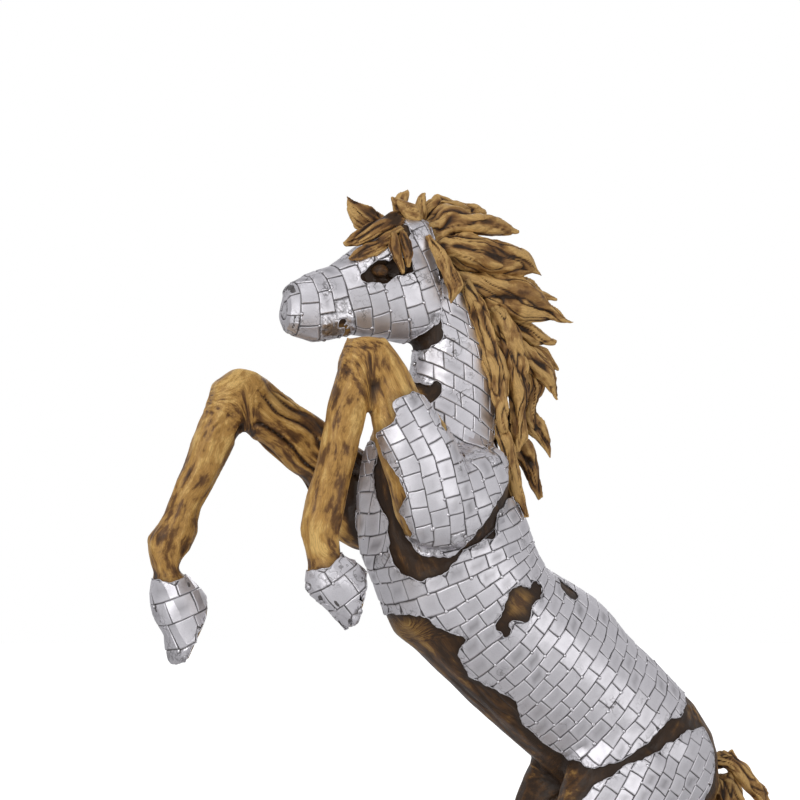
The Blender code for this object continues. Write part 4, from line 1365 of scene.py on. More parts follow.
@dataclass
class Cladding:
    """One patch of steel: a crumpled sheet, the small pieces laid on it, its rolled edge and its nails."""

    node: str
    wrap: Wrap
    courses: Courses = Courses.ROUND
    piece_length: float = 0.054
    piece_width: float = 0.037
    seam: float = 0.0014
    turn: float = 0.030
    warp: float = 0.0035
    fine_warp: float = 0.0012
    lift: float = 0.0010
    thickness: float = 0.0026
    tilt: float = 0.0034
    lip: float = 0.0026
    lip_height: float = 0.0009
    edge_drop: float = 0.0007
    dome: float = 0.0005
    crumpled: float = 0.16
    crumple_height: float = 0.0026
    sheet_drop: float = 0.0006
    sheet_depth: float = 0.0015
    nail_share: float = 0.34
    nail_radius: float = 0.0044
    nail_stray: float = 0.0025
    edge_radius: float = 0.0014
    edge_lift: float = 0.0020
    border: float = 0.0010
    wave: float = 0.0070
    overlap: float = 0.009
    also: tuple = ()
    bare: tuple = ()
    seed: int = 1

    def measure(self, body: Carving) -> None:
        """Take in the patch's solid.

        Args:
            body: The smooth figure.
        """
        points, faces = cad_arrays(self.node)
        self.cad = Skin(points, faces)
        self.low, self.high = points.min(axis=0), points.max(axis=0)
        self.noise = Noise(self.seed)
        self.body = body

    def cover(self) -> None:
        """Work out how far each of the body's points is inside or outside the patch's solid."""
        points, normals = self.body.points, self.body.normals
        self.level = np.full(len(points), FAR)
        chosen = np.nonzero(((points > self.low - 0.08) & (points < self.high + 0.08)).all(axis=1))[0]
        beyond = self.sideways(points[chosen], normals[chosen])
        free = beyond > UNDER_SOLID
        tree = search_tree(points[chosen[free]])
        depth = np.array([0.0 if clear else tree.find(point)[2] for point, clear in zip(points[chosen], free)])
        self.level[chosen] = np.where(free, beyond, UNDER_SOLID - depth) - self.border

    def settle(self, patches: list) -> None:
        """Fit the cover to its neighbours, open what stays bare, and tear its edge.

        Args:
            patches: All the patches, each covered already.
        """
        points = self.body.points
        level = self.level
        for x, y, z, radius in self.also:
            taken = np.linalg.norm(points - place(x, y, z), axis=1) - radius
            for patch in patches:
                if patch is not self:
                    taken = np.maximum(taken, -patch.level - self.overlap)
            level = np.minimum(level, taken)
        for x, y, z, radius in self.bare:
            away = (points - place(x, y, z)) * [1.0, 0.2, 1.0]
            held = (points[:, 1] - place(x, y, z)[1]) * math.copysign(1.0, y) > -0.06
            level = np.where(held, np.maximum(level, radius - np.linalg.norm(away, axis=1)), level)
        for _ in range(2):
            level = (level + neighbour_mean(level, self.body.edges)) / 2
        self.level = level
        self.field = level - self.raggedness(points)

    def sideways(self, points: np.ndarray, normals: np.ndarray) -> np.ndarray:
        """How far along the surface places are from the patch's solid.

        Args:
            points: The places, on the body.
            normals: The body's directions there.

        Returns:
            The distances, 0 under the solid.
        """
        away = self.cad.nearest(points)[0] - points
        rise = (away * normals).sum(axis=1)
        result = np.linalg.norm(away - normals * rise[:, None], axis=1)
        rise = np.abs(rise)
        result = np.where((rise < UNDER_RISE) & (result < 0.4 * rise), 0.0, result)
        return np.where(rise > MOST_RISE, FAR, result)

    def raggedness(self, points: np.ndarray) -> np.ndarray:
        """How much further out than its plain line the torn edge runs near each place."""
        ragged = self.noise.at(points * 30.0) + 0.6 * self.noise.at(points * 75.0 + 3.0)
        return np.clip(ragged, -1.1, 1.1) * self.wave

    def outside(self, points: np.ndarray) -> np.ndarray:
        """How far beyond the patch's torn edge each place on the body is, less than 0 inside it."""
        return self.body.skin.carried(points, self.level) - self.raggedness(points)

    def crumple_share(self, points: np.ndarray, beyond: np.ndarray) -> np.ndarray:
        """How crumpled the steel is at each place, from 0 to 1: in spots, and along the patch's edge.

        Args:
            points: The places.
            beyond: What outside() gives for them.

        Returns:
            The shares.
        """
        spots = self.noise.layered(points * 11.0 + 31.0, 2) - (0.95 - 2.2 * self.crumpled)
        rim = 1 - rising(-beyond, 0.016)
        return np.clip(rising(spots, 0.5) + 0.6 * rim, 0, 1)

    def folds(self, points: np.ndarray) -> np.ndarray:
        """The crumpling's folds, from 0 in a valley's bottom up to about 1."""
        return self.noise.ridged(points * FOLD_CELLS + 5.0, 2)

    def crumple_rise(self, points: np.ndarray, share: np.ndarray) -> np.ndarray:
        """How far the crumpling lifts the steel.

        Args:
            points: The places.
            share: How crumpled each of them is.

        Returns:
            A height for each place, less than 0 in the folds' valleys.
        """
        return share * (np.clip(self.folds(points), 0, 1.1) - 0.30) * self.crumple_height * 1.5

    def build(self, plate_finish: bpy.types.Material, sheet_finish: bpy.types.Material,
              nail_finish: bpy.types.Material) -> None:
        """Make every piece of the patch.

        Args:
            plate_finish: The material of the small pieces and the edge.
            sheet_finish: The material of the sheet.
            nail_finish: The material of the nails.
        """
        self.wrap.fit(self.body.skin)
        self.make_pieces(plate_finish)
        self.make_sheet(sheet_finish)
        self.make_edge(plate_finish)
        self.make_nails(nail_finish)

    def flat_to_body(self, flat: np.ndarray) -> np.ndarray:
        """Where places on the flat sheet land on the body.

        Args:
            flat: The places.

        Returns:
            The places on the body, or nothing-numbers.
        """
        if self.courses is Courses.ROUND:
            return self.wrap.land(flat[:, 1] + self.wrap.length / 2, flat[:, 0], self.piece_length * 0.53)
        return self.wrap.land(flat[:, 0] + self.wrap.length / 2, flat[:, 1], self.piece_width * 0.53)

    def laid_flat(self, finish: bpy.types.Material) -> bpy.types.Object:
        """Lay enough small pieces in flat rows to go round the whole body.

        Args:
            finish: The pieces' material.

        Returns:
            The pieces, as one object.
        """
        wide, high = self.wrap.half_round * 2, self.wrap.length
        if self.courses is Courses.LENGTHWISE:
            wide, high = high, wide
        return run_nodes(mesh_object(self.node + "_pieces", np.zeros((1, 3)), []), PLATE_TREE, {
            "Length": self.piece_length, "Width": self.piece_width, "Columns": int(wide / self.piece_length) + 2,
            "Rows": int(high / self.piece_width) + 2, "Seam": self.seam, "Turn": self.turn, "Seed": self.seed,
            "Finish": finish,
        })

    def make_pieces(self, finish: bpy.types.Material) -> None:
        """Lay the small pieces flat, drop those off the patch and wrap the rest onto the body.

        Args:
            finish: The material.
        """
        made = self.laid_flat(finish)
        mesh = made.data
        chance = read(mesh.attributes["chance"].data, "value", 1, np.float32).ravel()
        centre, local = (read(mesh.attributes[name].data, "vector", 3, np.float32) for name in ("middle", "local"))
        number = np.unique(np.round(centre, 5), axis=0, return_inverse=True)[1].ravel()
        flat, local = self.spaced(get_points(mesh), local, number)
        spots = self.flat_to_body(self.warped(flat))
        met = ~np.isnan(spots).any(axis=1)
        spots[~met] = 0
        places = self.body.skin.nearest(spots)[0]
        beyond = np.where(met, self.outside(places), FAR)
        keep = self.kept_pieces(places, number, beyond, met)
        places = self.held_in(places, number, beyond, keep)
        places, normals, _ = self.body.skin.nearest(places)
        folded = self.crumple_share(places, np.minimum(beyond, 0))
        edge = np.abs(local[:, :2]).max(axis=1) > 0.49
        middle = (np.abs(local[:, 0]) < 0.3) & (np.abs(local[:, 1]) < 0.3)
        rise = np.where(edge, -self.edge_drop, np.where(middle, self.dome * (1 - folded), self.lip_height))
        tilt = (chance - 0.5) * local[:, 0] + (chance * 7 % 1 - 0.5) * local[:, 1]
        height = self.lift + np.where(local[:, 2] > 0, self.thickness + rise + tilt * self.tilt, 0.0)
        height += self.crumple_rise(places, folded)
        set_points(mesh, places + normals * height[:, None])
        # Each piece's middle differs in tone by chance; its lip and edge keep the brightest tone, a painted highlight
        # along the raised lip.
        tone = np.where(middle, 0.10 + chance ** 3 * 0.85, 0.0)
        # Painted shade along each piece's outer edge, next to its seam.
        set_attributes(made, tone=tone, hollow=np.where(edge, 0.56, 0.0), crumple=folded)
        bm = bmesh.new()
        bm.from_mesh(mesh)
        bm.verts.ensure_lookup_table()
        bmesh.ops.delete(bm, geom=[v for v in bm.verts if not keep[number[v.index]]], context="VERTS")
        bmesh.ops.recalc_face_normals(bm, faces=bm.faces)
        bm.to_mesh(mesh)
        bm.free()
        mesh.shade_smooth()
        mesh.set_sharp_from_angle(angle=math.radians(19))
        self.middles = group_means(number, flat[:, :2])[keep]
        self.piece_skin = Skin(get_points(mesh), get_faces(mesh)) if keep.any() else None
        LOG.info("%s: %d small pieces", self.node, keep.sum())
        dress(made, finish, self.node)

    def kept_pieces(self, places: np.ndarray, number: np.ndarray, beyond: np.ndarray, met: np.ndarray) -> np.ndarray:
        """Choose the pieces that lie on the patch and aren't pulled apart.

        Args:
            places: The pieces' points on the body.
            number: The number of the piece that each point belongs to.
            beyond: How far past the patch's edge each point is, less than 0 inside it.
            met: Whether each point landed on the body.

        Returns:
            Whether each piece stays.
        """
        share = np.bincount(number, beyond < 0) / np.bincount(number)
        centre = group_means(number, places)
        spread = np.zeros(len(centre))
        np.maximum.at(spread, number, np.linalg.norm(places - centre[number], axis=1))
        lost = np.bincount(number, ~met) > 0
        return (share > LEAST_INSIDE) & ~lost & (spread < MOST_SPREAD * math.hypot(self.piece_length, self.piece_width))

    def spaced(self, flat: np.ndarray, local: np.ndarray, number: np.ndarray) -> tuple[np.ndarray, np.ndarray]:
        """Move each piece's second row of points close to its edge, where the raised lip is.

        Args:
            flat: The points of the flat pieces.
            local: Each point's place in its own piece, from -0.5 to 0.5.
            number: The number of the piece that each point belongs to.

        Returns:
            The moved points, and their new places in their pieces.
        """
        centre = group_means(number, flat[:, :2])[number]
        size = np.array([self.piece_length, self.piece_width]) - self.seam
        before = local[:, :2] * size
        away = flat[:, :2] - centre
        cross = np.bincount(number, before[:, 0] * away[:, 1] - before[:, 1] * away[:, 0])
        dot = np.bincount(number, (before * away).sum(axis=1))
        turn = np.arctan2(cross, dot)[number]
        fresh = local.copy()
        for axis, (marks, inner) in enumerate(PIECE_ROWS):
            moved = [*inner, 0.5 - self.lip / size[axis], 0.5]
            fresh[:, axis] = np.sign(local[:, axis]) * np.interp(np.abs(local[:, axis]), marks, moved)
        after = fresh[:, :2] * size
        x = after[:, 0] * np.cos(turn) - after[:, 1] * np.sin(turn) + centre[:, 0]
        y = after[:, 0] * np.sin(turn) + after[:, 1] * np.cos(turn) + centre[:, 1]
        return np.column_stack([x, y, np.zeros(len(x))]), fresh

    def warped(self, flat: np.ndarray) -> np.ndarray:
        """Move flat places a little, so that the seams between pieces wander.

        Args:
            flat: The places.

        Returns:
            The new places.
        """
        result = flat.copy()
        for axis in range(2):
            result[:, axis] += self.noise.at(flat * 13.0 + 50.0 * (axis + 1)) * self.warp
            result[:, axis] += self.noise.at(flat * 42.0 + 50.0 * (axis + 3)) * self.fine_warp
        return result

    def held_in(self, places: np.ndarray, number: np.ndarray, beyond: np.ndarray, keep: np.ndarray) -> np.ndarray:
        """Move the points past the patch's edge towards the middle of their own piece.

        Args:
            places: The pieces' points on the body.
            number: The number of the piece that each point belongs to.
            beyond: How far past the edge each point is, less than 0 inside it.
            keep: Whether each piece stays.

        Returns:
            The new places.
        """
        inside = beyond < 0
        count = np.maximum(np.bincount(number, inside), 1)
        middle = np.stack([np.bincount(number, column * inside) / count for column in places.T], axis=1)
        out = np.nonzero(~inside & keep[number])[0]
        start, goal = places[out], middle[number[out]]
        low, high = np.zeros(len(out)), np.ones(len(out))
        for _ in range(6):
            share = (low + high) / 2
            spots = self.body.skin.nearest(start + (goal - start) * share[:, None])[0]
            past = self.outside(spots) > 0
            low, high = np.where(past, share, low), np.where(past, high, share)
        result = places.copy()
        result[out] = start + (goal - start) * high[:, None]
        return result

    def pulled_in(self, places: np.ndarray, beyond: np.ndarray) -> np.ndarray:
        """Move the places past the patch's edge back to it.

        Args:
            places: Places on the body.
            beyond: How far past the edge each of them is, less than 0 inside it.

        Returns:
            The new places.
        """
        inner = search_tree(self.body.points[self.field < -0.004])
        result = places.copy()
        for index in np.nonzero(beyond > 0)[0]:
            away = np.array(inner.find(places[index])[0]) - places[index]
            size = np.linalg.norm(away) + 1e-9
            result[index] += away * min(beyond[index], size) / size
        return result

    def sheet_surface(self) -> bpy.types.Object:
        """Cut the patch out of the body's surface, with faces half as wide.

        Returns:
            The cut surface.
        """
        inside = self.field < 0
        chosen = [face for face in self.body.faces if any(inside[list(face)])]
        used = np.unique([index for face in chosen for index in face])
        renumber = {int(old): new for new, old in enumerate(used)}
        faces = [[renumber[index] for index in face] for face in chosen]
        made = mesh_object(self.node + "_sheet", self.pulled_in(self.body.points[used], self.field[used]), faces)
        finer = made.modifiers.new("Finer", "SUBSURF")
        finer.subdivision_type = "SIMPLE"
        finer.levels = finer.render_levels = 1
        return baked(made)

    def make_sheet(self, finish: bpy.types.Material) -> None:
        """Make the sheet under the pieces, which shows where none are laid.

        Args:
            finish: The material.
        """
        made = self.sheet_surface()
        points, normals, _ = self.body.skin.nearest(get_points(made.data))
        covered = self.near_pieces(points)
        folded = np.maximum(self.crumple_share(points, np.minimum(self.outside(points), 0)), SHEET_CRUMPLED)
        rise = self.thickness * 0.8 + self.crumple_rise(points, folded)
        height = self.lift - self.sheet_drop + (1 - covered) * rise
        bm = bmesh.new()
        bm.from_mesh(made.data)
        height[[v.index for v in bm.verts if any(e.is_boundary for e in v.link_edges)]] = self.lift
        for vert, point in zip(bm.verts, points + normals * height[:, None]):
            vert.co = point
        bmesh.ops.extrude_face_region(bm, geom=list(bm.faces))
        bm.verts.ensure_lookup_table()
        bm.verts.index_update()
        for vert, point in zip(bm.verts[:len(points)], points - normals * self.sheet_depth):
            vert.co = point
        bmesh.ops.recalc_face_normals(bm, faces=bm.faces)
        bm.to_mesh(made.data)
        bm.free()
        points = get_points(made.data)
        covered = self.near_pieces(points)
        folded = np.maximum(self.crumple_share(points, np.full(len(points), -FAR)), SHEET_CRUMPLED)
        # Painted shade where the sheet lies under and between the pieces, and in the valleys of its folds.
        hollow = covered * 0.72 + (1 - covered) * fading(self.folds(points), 0.26) * 0.5
        tone = self.noise.at(points * 20.0) * 0.5 + 0.15
        set_attributes(made, hollow=np.clip(hollow, 0, 1), tone=np.clip(tone, 0, 1), crumple=folded)
        LOG.info("%s: sheet of %d points", self.node, len(points))
        thinned(made)
        dress(made, finish, self.node)

    def near_pieces(self, points: np.ndarray) -> np.ndarray:
        """How much each place lies under or between the small pieces, from 0 to 1."""
        if self.piece_skin is None:
            return np.zeros(len(points))
        return rising(0.0042 - self.piece_skin.nearest(points)[2], 0.0016)

    def edge_line(self) -> tuple[np.ndarray, list]:
        """Follow the patch's torn edge over the body's faces.

        Returns:
            The line's points, and the two point numbers of each of its stretches.
        """
        triangles = []
        for face in self.body.faces:
            inside = self.field[list(face)] < 0
            if inside.any() and not inside.all():
                triangles += [(face[0], face[k], face[k + 1]) for k in range(1, len(face) - 1)]
        spots = {}
        lines = []
        for triangle in triangles:
            ends = []
            for first, second in ((0, 1), (1, 2), (2, 0)):
                a, b = sorted((triangle[first], triangle[second]))
                low, high = self.field[a], self.field[b]
                if (low < 0) != (high < 0):
                    if (a, b) not in spots:
                        share = low / (low - high)
                        spots[a, b] = (len(spots), self.body.points[a] * (1 - share) + self.body.points[b] * share)
                    ends.append(spots[a, b][0])
            if len(ends) == 2:
                lines.append(ends)
        return np.array([spot for _, spot in spots.values()]), lines

    def make_edge(self, finish: bpy.types.Material) -> None:
        """Roll the patch's edge: a rounded bead along the line where the cover ends.

        Args:
            finish: The material.
        """
        points, lines = self.edge_line()
        if not lines:
            return
        points = relaxed(points, np.array(lines), 3)
        normals = self.body.skin.nearest(points)[1]
        height = self.lift + self.edge_lift + 0.0012 * self.noise.at(points * 60.0)
        made = mesh_object(self.node + "_edge", points + normals * height[:, None], [], lines)
        values = {"Radius": self.edge_radius, "Uneven": 0.28, "Seed": self.seed, "Finish": finish}
        run_nodes(made, BEAD_TREE, values)
        set_attributes(made, tone=0.25, hollow=0.05, crumple=0.5)
        made.data.shade_smooth()
        LOG.info("%s: edge of %d points", self.node, len(points))
        dress(made, finish, self.node)

    def nail_spots(self, rng: np.random.Generator) -> np.ndarray:
        """Choose where nails go: corners of the small pieces, and places where the sheet shows.

        Args:
            rng: The source of chance.

        Returns:
            Places near the body's surface.
        """
        corners = np.concatenate([
            self.middles + [sx * self.piece_length * 0.5, sy * self.piece_width * 0.5] for sx, sy in ((1, 1), (-1, 1))
        ])
        corners = corners[rng.random(len(corners)) < self.nail_share]
        corners = corners + rng.normal(0, self.nail_stray, corners.shape)
        spots = self.flat_to_body(self.warped(np.column_stack([corners, np.zeros(len(corners))])))
        spots = spots[~np.isnan(spots).any(axis=1)]
        inside = np.nonzero(self.field < -0.006)[0]
        loose = inside[self.near_pieces(self.body.points[inside]) < 0.5]
        extra = self.body.points[rng.permutation(loose)[: len(loose) // 130]]
        return np.concatenate([spots, extra])

    def make_nails(self, finish: bpy.types.Material) -> None:
        """Set domed nail heads at the corners of the small pieces and in the crumpled parts.

        Args:
            finish: The material.
        """
        rng = np.random.default_rng(self.seed + 40)
        spots = self.nail_spots(rng)
        if not len(spots):
            return
        spots, normals, _ = self.body.skin.nearest(spots)
        good = self.outside(spots) < -0.003
        spots, normals = spots[good], normals[good]
        size = rng.uniform(0.75, 1.2, len(spots)) * self.nail_radius
        first = np.cross(normals, [0.31, 0.9, 0.2])
        first /= np.linalg.norm(first, axis=1)[:, None]
        frames = np.stack([first, np.cross(normals, first), normals], axis=2)
        turn = np.array([Matrix(rows).to_euler() for rows in frames.tolist()])
        made = mesh_object(self.node + "_nails", spots + normals * (self.lift + self.thickness), [])
        set_attributes(made, turn=turn, size=size)
        run_nodes(made, NAIL_TREE, {"Finish": finish})
        set_attributes(made, tone=0.1, crumple=0.0)
        made.data.shade_smooth()
        LOG.info("%s: %d nails", self.node, len(spots))
        dress(made, finish, self.node)


# How many stretches a loose piece is measured in from its root to its tip, and how thin it is taken to be at least.
SPINE_STRETCHES = 14
THINNEST = 0.004


@dataclass
class Driftwood:
    """A gnarled, pointed piece of weathered wood, split along its grain and torn at its tip."""

    node: str
    seed: int
    finish: bpy.types.Material
    grain: float = 0.0034
    fold_share: float = 0.46
    groove_share: float = 0.13
    lump_share: float = 0.30
    torn: float = 0.35
    deepest: float = 0.026
    fuller: float = 0.0
    darker_by: float = 0.0

    def build(self) -> None:
        """Make the piece from its solid's shape."""
        made = remeshed(self.node, self.grain)
        edges = get_edges(made.data)
        points = nudged(relaxed(get_points(made.data), edges, 5))
        set_points(made.data, points)
        normals = get_normals(made.data)
        grain, radius, share = self.along(points)
        noise = Noise(self.seed)
        scale = 1.0 / max(radius.mean(), THINNEST)
        bend = noise.shift(points, 11.0) * [0.02, 0.5 / scale, 0.5 / scale]
        local = (grain + bend) * [6.5, scale * 0.44, scale * 0.44] + self.seed
        lumps = noise.layered(local * [1.9, 1.5, 1.5], 2)
        fold = rising(np.abs(noise.at(local + 7.0)), 0.42)
        narrow = fading(np.abs(noise.at(local * [1.1, 2.6, 2.6] + 3.0)), 0.16)
        tip = rising(share, 0.4, 0.6)
        groove = narrow * self.groove_share * (1 + tip)
        move = (fold - 0.50) * self.fold_share + self.fuller + lumps * self.lump_share - groove
        move -= self.torn * tip ** 2 * np.clip(noise.at(local * [3.0, 3.4, 3.4] + 11.0), 0, 1)
        points = points + normals * (move * np.minimum(radius, self.deepest))[:, None]
        set_points(made.data, points)
        normals = get_normals(made.data)
        stand = bulge(points, edges, normals, 4)
        wide = bulge(points, edges, normals, 16)
        # Painted shade in hollows, in the narrow grooves and at the piece's root, where it meets the others.
        hollow = rising(-stand, 0.0012) * 0.6 + rising(-wide, 0.0034, 0.0002) + narrow * 0.25
        hollow = np.clip(hollow + fading(share, 0.16) * 0.5, 0, 1) * 0.92
        # Painted highlight on bulges and painted shade in wide hollows, going into the tone.
        painted_relief_light = rising(stand, 0.0014) * 1.5 + np.clip(wide / 0.004, -1, 1) * 1.2
        tone = noise.at(points * 14.0) * 1.6 + (self.seed % 5 - 2) * 0.2 + painted_relief_light - self.darker_by
        set_attributes(made, grain=grain + bend + self.seed * 0.37, hollow=hollow, tone=tone)
        dress(made, self.finish, self.node)
        LOG.info("%s: %d faces", self.node, len(made.data.polygons))

    def along(self, points: np.ndarray) -> tuple[np.ndarray, np.ndarray, np.ndarray]:
        """Follow the piece from root to tip.

        Args:
            points: The piece's surface.

        Returns:
            Grain coordinates, the piece's thickness at each point, and how far along it is, from 0 to 1.
        """
        count = SPINE_STRETCHES
        centre = points.mean(axis=0)
        axis = np.linalg.svd(points - centre, full_matrices=False)[2][0]
        run = (points - centre) @ axis
        low, high = run.min(), run.max()
        size = high - low
        bins = np.clip(((run - low) / size * count).astype(int), 0, count - 1)
        groups = [points[bins == k] for k in range(count)]
        middles = np.array([group.mean(axis=0) if len(group) else centre for group in groups])
        widths = np.array([
            np.linalg.norm(group - middle, axis=1).mean() if len(group) else THINNEST
            for group, middle in zip(groups, middles)
        ])
        if widths[:4].sum() < widths[-4:].sum():
            run, axis = -run, -axis
            middles, widths = middles[::-1], widths[::-1]
            low = -high
        marks = (np.arange(count) + 0.5) / count
        share = (run - low) / size
        spine = np.stack([np.interp(share, marks, middles[:, k]) for k in range(3)], axis=1)
        side = np.cross(axis, [0.0, 1.0, 0.05])
        side /= np.linalg.norm(side)
        up = np.cross(axis, side)
        away = points - spine
        grain = np.stack([share * size, away @ side, away @ up], axis=1)
        return grain, np.interp(share, marks, widths), share


@dataclass
class Eye:
    """A carved eyeball in its socket, with its iris cut as a ring."""

    side: int
    finish: bpy.types.Material
    radius: float = 0.0185
    sink: float = 0.0105
    spot: tuple = (-29.2, 3.0, 90.55)
    stretch: tuple = (1.22, 0.92, 1.0)

    def build(self, body: Carving) -> None:
        """Make the ball.

        Args:
            body: The carved figure, whose head the eye looks out of.
        """
        x, y, z = self.spot
        spots, normals, _ = body.skin.nearest(place(x, y * self.side, z)[None])
        outward = Vector(normals[0])
        centre = spots[0] - normals[0] * self.sink
        bm = bmesh.new()
        bmesh.ops.create_uvsphere(bm, u_segments=36, v_segments=24, radius=self.radius)
        for vert in bm.verts:
            out = vert.co.z / self.radius
            iris = math.exp(-((out - 0.83) / 0.035) ** 2)
            pupil = 1.0 if out > 0.95 else 0.0
            vert.co = vert.co * Vector(self.stretch) * (1 - 0.055 * iris - 0.05 * pupil)
        turn = outward.to_track_quat("Z", "Y").to_matrix()
        bmesh.ops.rotate(bm, verts=bm.verts, cent=(0, 0, 0), matrix=turn)
        bmesh.ops.translate(bm, verts=bm.verts, vec=Vector(centre))
        mesh = bpy.data.meshes.new("eye_left" if self.side < 0 else "eye_right")
        bm.to_mesh(mesh)
        bm.free()
        mesh.shade_smooth()
        made = linked(mesh.name, mesh)
        away = get_points(mesh) - centre
        outness = (away @ np.array(outward)) / self.radius
        ring = np.exp(-((outness - 0.80) / 0.05) ** 2) + rising(outness, 0.03, 0.90)
        # Painted shade on the back of the ball, in the cut iris ring and in the sunk pupil.
        hollow = np.clip(rising(0.55 - outness, 0.4) + ring * 0.7, 0, 1) * 0.85
        set_attributes(made, grain=away * 1.5 + 3.0, hollow=hollow, tone=-1.3)
        dress(made, self.finish, None)
        LOG.info("%s: %d faces", made.name, len(mesh.polygons))


@dataclass
class Base:
    """The low slab, its top left with the marks of a wide gouge."""

    finish: bpy.types.Material
    grain: float = 0.009
    mark: float = 0.00256

    def build(self) -> None:
        """Make the slab from its solid's shape."""
        made = remeshed("base", self.grain)
        points = relaxed(get_points(made.data), get_edges(made.data), 3)
        low, high = (np.array(corner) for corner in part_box("base"))
        points = np.clip(points, low, high)
        set_points(made.data, points)
        normals = get_normals(made.data)
        noise = Noise(77)
        marks = np.abs(noise.at(points * [7.0, 16.0, 16.0])) * (normals[:, 2] > -0.3) * (points[:, 2] > 0.02)
        points = points - normals * (marks * self.mark)[:, None]
        points[:, 2] = np.maximum(points[:, 2], low[2])
        set_points(made.data, points)
        # Darker where the gouge cuts least: along the uncut lines between the marks, on the underside and along the
        # lowest 2 cm.
        hollow = np.clip(0.3 - marks, 0, 1) * 0.5
        set_attributes(made, grain=points, hollow=hollow, tone=noise.at(points * 5.0))
        dress(made, self.finish, "base")
        LOG.info("base: %d faces", len(made.data.polygons))


def aimed(made: bpy.types.Object, where: tuple, aim: tuple) -> None:
    """Put a lamp or a camera in its place and point it at another."""
    made.location = where
    made.rotation_euler = (Vector(aim) - Vector(where)).to_track_quat("-Z", "Y").to_euler()


@dataclass(frozen=True)
class Panel:
    """A large soft light: its place, what it points at, its width and height, and its strength in watts."""

    name: str
    where: tuple
    aim: tuple
    size: float
    power: float

    def hang(self) -> None:
        """Light the panel."""
        light = bpy.data.lights.new(self.name, "AREA")
        light.size = self.size
        light.energy = self.power
        aimed(linked(self.name, light), self.where, self.aim)


PANELS = (
    Panel("key", (-4.4, -4.2, 5.0), (-0.5, 0.0, 1.6), 3.4, 100.0),
    Panel("front", (-6.0, -4.6, 1.1), (-0.9, 0.0, 1.7), 3.0, 75.0),
    Panel("fill", (2.6, -6.0, 2.2), (-0.4, 0.0, 1.5), 3.0, 50.0),
    Panel("back", (2.5, 5.5, 5.0), (-0.4, 0.0, 1.6), 3.0, 70.0),
)

WHITE = (1.0, 1.0, 1.0)


@dataclass
class Studio:
    """A plain pale floor, soft light from large panels, and the camera at the photograph's angle."""

    eye: tuple = (-3.241, -6.474, 1.454)
    target: tuple = (-0.625, 0.0, 1.942)
    lens: float = 119.7
    floor_radius: float = 60.0
    floor_glow: float = 0.85
    floor_shades: tuple = ((0.62, 0.62, 0.62), (0.64, 0.64, 0.64))
    sky_shades: tuple = ((0.50, 0.50, 0.505), (0.56, 0.56, 0.575))

    def build(self) -> None:
        """Set up the floor, the sky, the panels and the camera."""
        self.make_floor()
        self.make_sky()
        for panel in PANELS:
            panel.hang()
        scene = bpy.context.scene
        scene.view_settings.view_transform = "Standard"
        camera = bpy.data.cameras.new("camera")
        camera.lens = self.lens
        camera.sensor_width = 36.0
        camera.clip_end = 200.0
        scene.camera = linked("camera", camera)
        aimed(scene.camera, self.eye, self.target)

    def make_floor(self) -> None:
        """Lay the floor, which looks white to the camera alone."""
        mesh = bpy.data.meshes.new("floor")
        bm = bmesh.new()
        bmesh.ops.create_circle(bm, cap_ends=True, segments=96, radius=self.floor_radius)
        bm.to_mesh(mesh)
        bm.free()
        floor = linked("floor", mesh)
        material, nodes, shader = new_material("pale_floor")
        where = nodes.add("ShaderNodeTexCoord").outputs["Object"]
        colour = nodes.mix(nodes.noise(where, (3.0, 3.0, 3.0), 3.0, 0.55), *self.floor_shades)
        seen = nodes.add("ShaderNodeLightPath").outputs["Is Camera Ray"]
        glow = nodes.math("MULTIPLY", seen, self.floor_glow)
        nodes.feed(shader, {"Base Color": colour, "Roughness": 0.9, "Emission Color": (*WHITE, 1.0),
                            "Emission Strength": glow})
        mesh.materials.append(material)

    def make_sky(self) -> None:
        """Light the scene evenly, brighter from above, before a white backdrop."""
        world = bpy.data.worlds.new("studio")
        bpy.context.scene.world = world
        world.use_nodes = True
        nodes = Nodes(world.node_tree)
        up = nodes.add("ShaderNodeSeparateXYZ", {0: nodes.add("ShaderNodeTexCoord").outputs["Generated"]}).outputs[2]
        light = nodes.mix(nodes.span(up, -0.40, 0.75), *self.sky_shades)
        seen = nodes.add("ShaderNodeLightPath").outputs["Is Camera Ray"]
        background = world.node_tree.nodes["Background"].inputs
        nodes.feed(background, {"Color": nodes.mix(seen, light, WHITE), "Strength": 1.0})


LOCK_NODES = tuple(row["node"] for row in frame["record"]["subparts"] if row["material_slot"] == "weathered_wood")

# How much fuller than the rest a few of the loose pieces are, against their own thickness.
LOCK_FULLER = {"mane_top_lower": 0.30, "mane_high": 0.16, "mane_top_upper": 0.06}

# How much darker than the rest a few of the loose pieces are made.
LOCK_DARKER_BY = {
    "forelock_long": 1.4, "forelock_low": 1.9, "temple_lock_front": 1.3, "temple_lock_rear": 1.6, "ear_right": 0.2,
    "mane_top_upper": 0.2, "mane_top_lower": 0.2, "mane_root": 0.8,
}

# The steel stays clear of these spheres round the eyes: x, y and z in shares, and the radius.
EYE_OPENING = tuple(
    (x, side * 3.2, z, radius) for side in (-1, 1)
    for x, z, radius in ((-30.9, 89.8, 0.015), (-29.9, 90.2, 0.023), (-28.7, 90.7, 0.029), (-27.4, 91.0, 0.028),
                         (-26.4, 91.2, 0.021))
)

# The openings in the steel at the two mouth corners.
MOUTH_OPENING = ((-33.2, -2.7, 84.9, 0.011), (-33.2, 2.7, 84.9, 0.011))

# The small hole in the steel between the neck and the left shoulder.
SHOULDER_GAP = (-22.0, -7.5, 70.5, 0.011)

# The open patch in the steel on the near flank.
FLANK_OPENING = ((-16.8, -6.3, 52.3, 0.020), (-15.0, -6.3, 54.3, 0.032), (-13.0, -6.3, 56.4, 0.024))

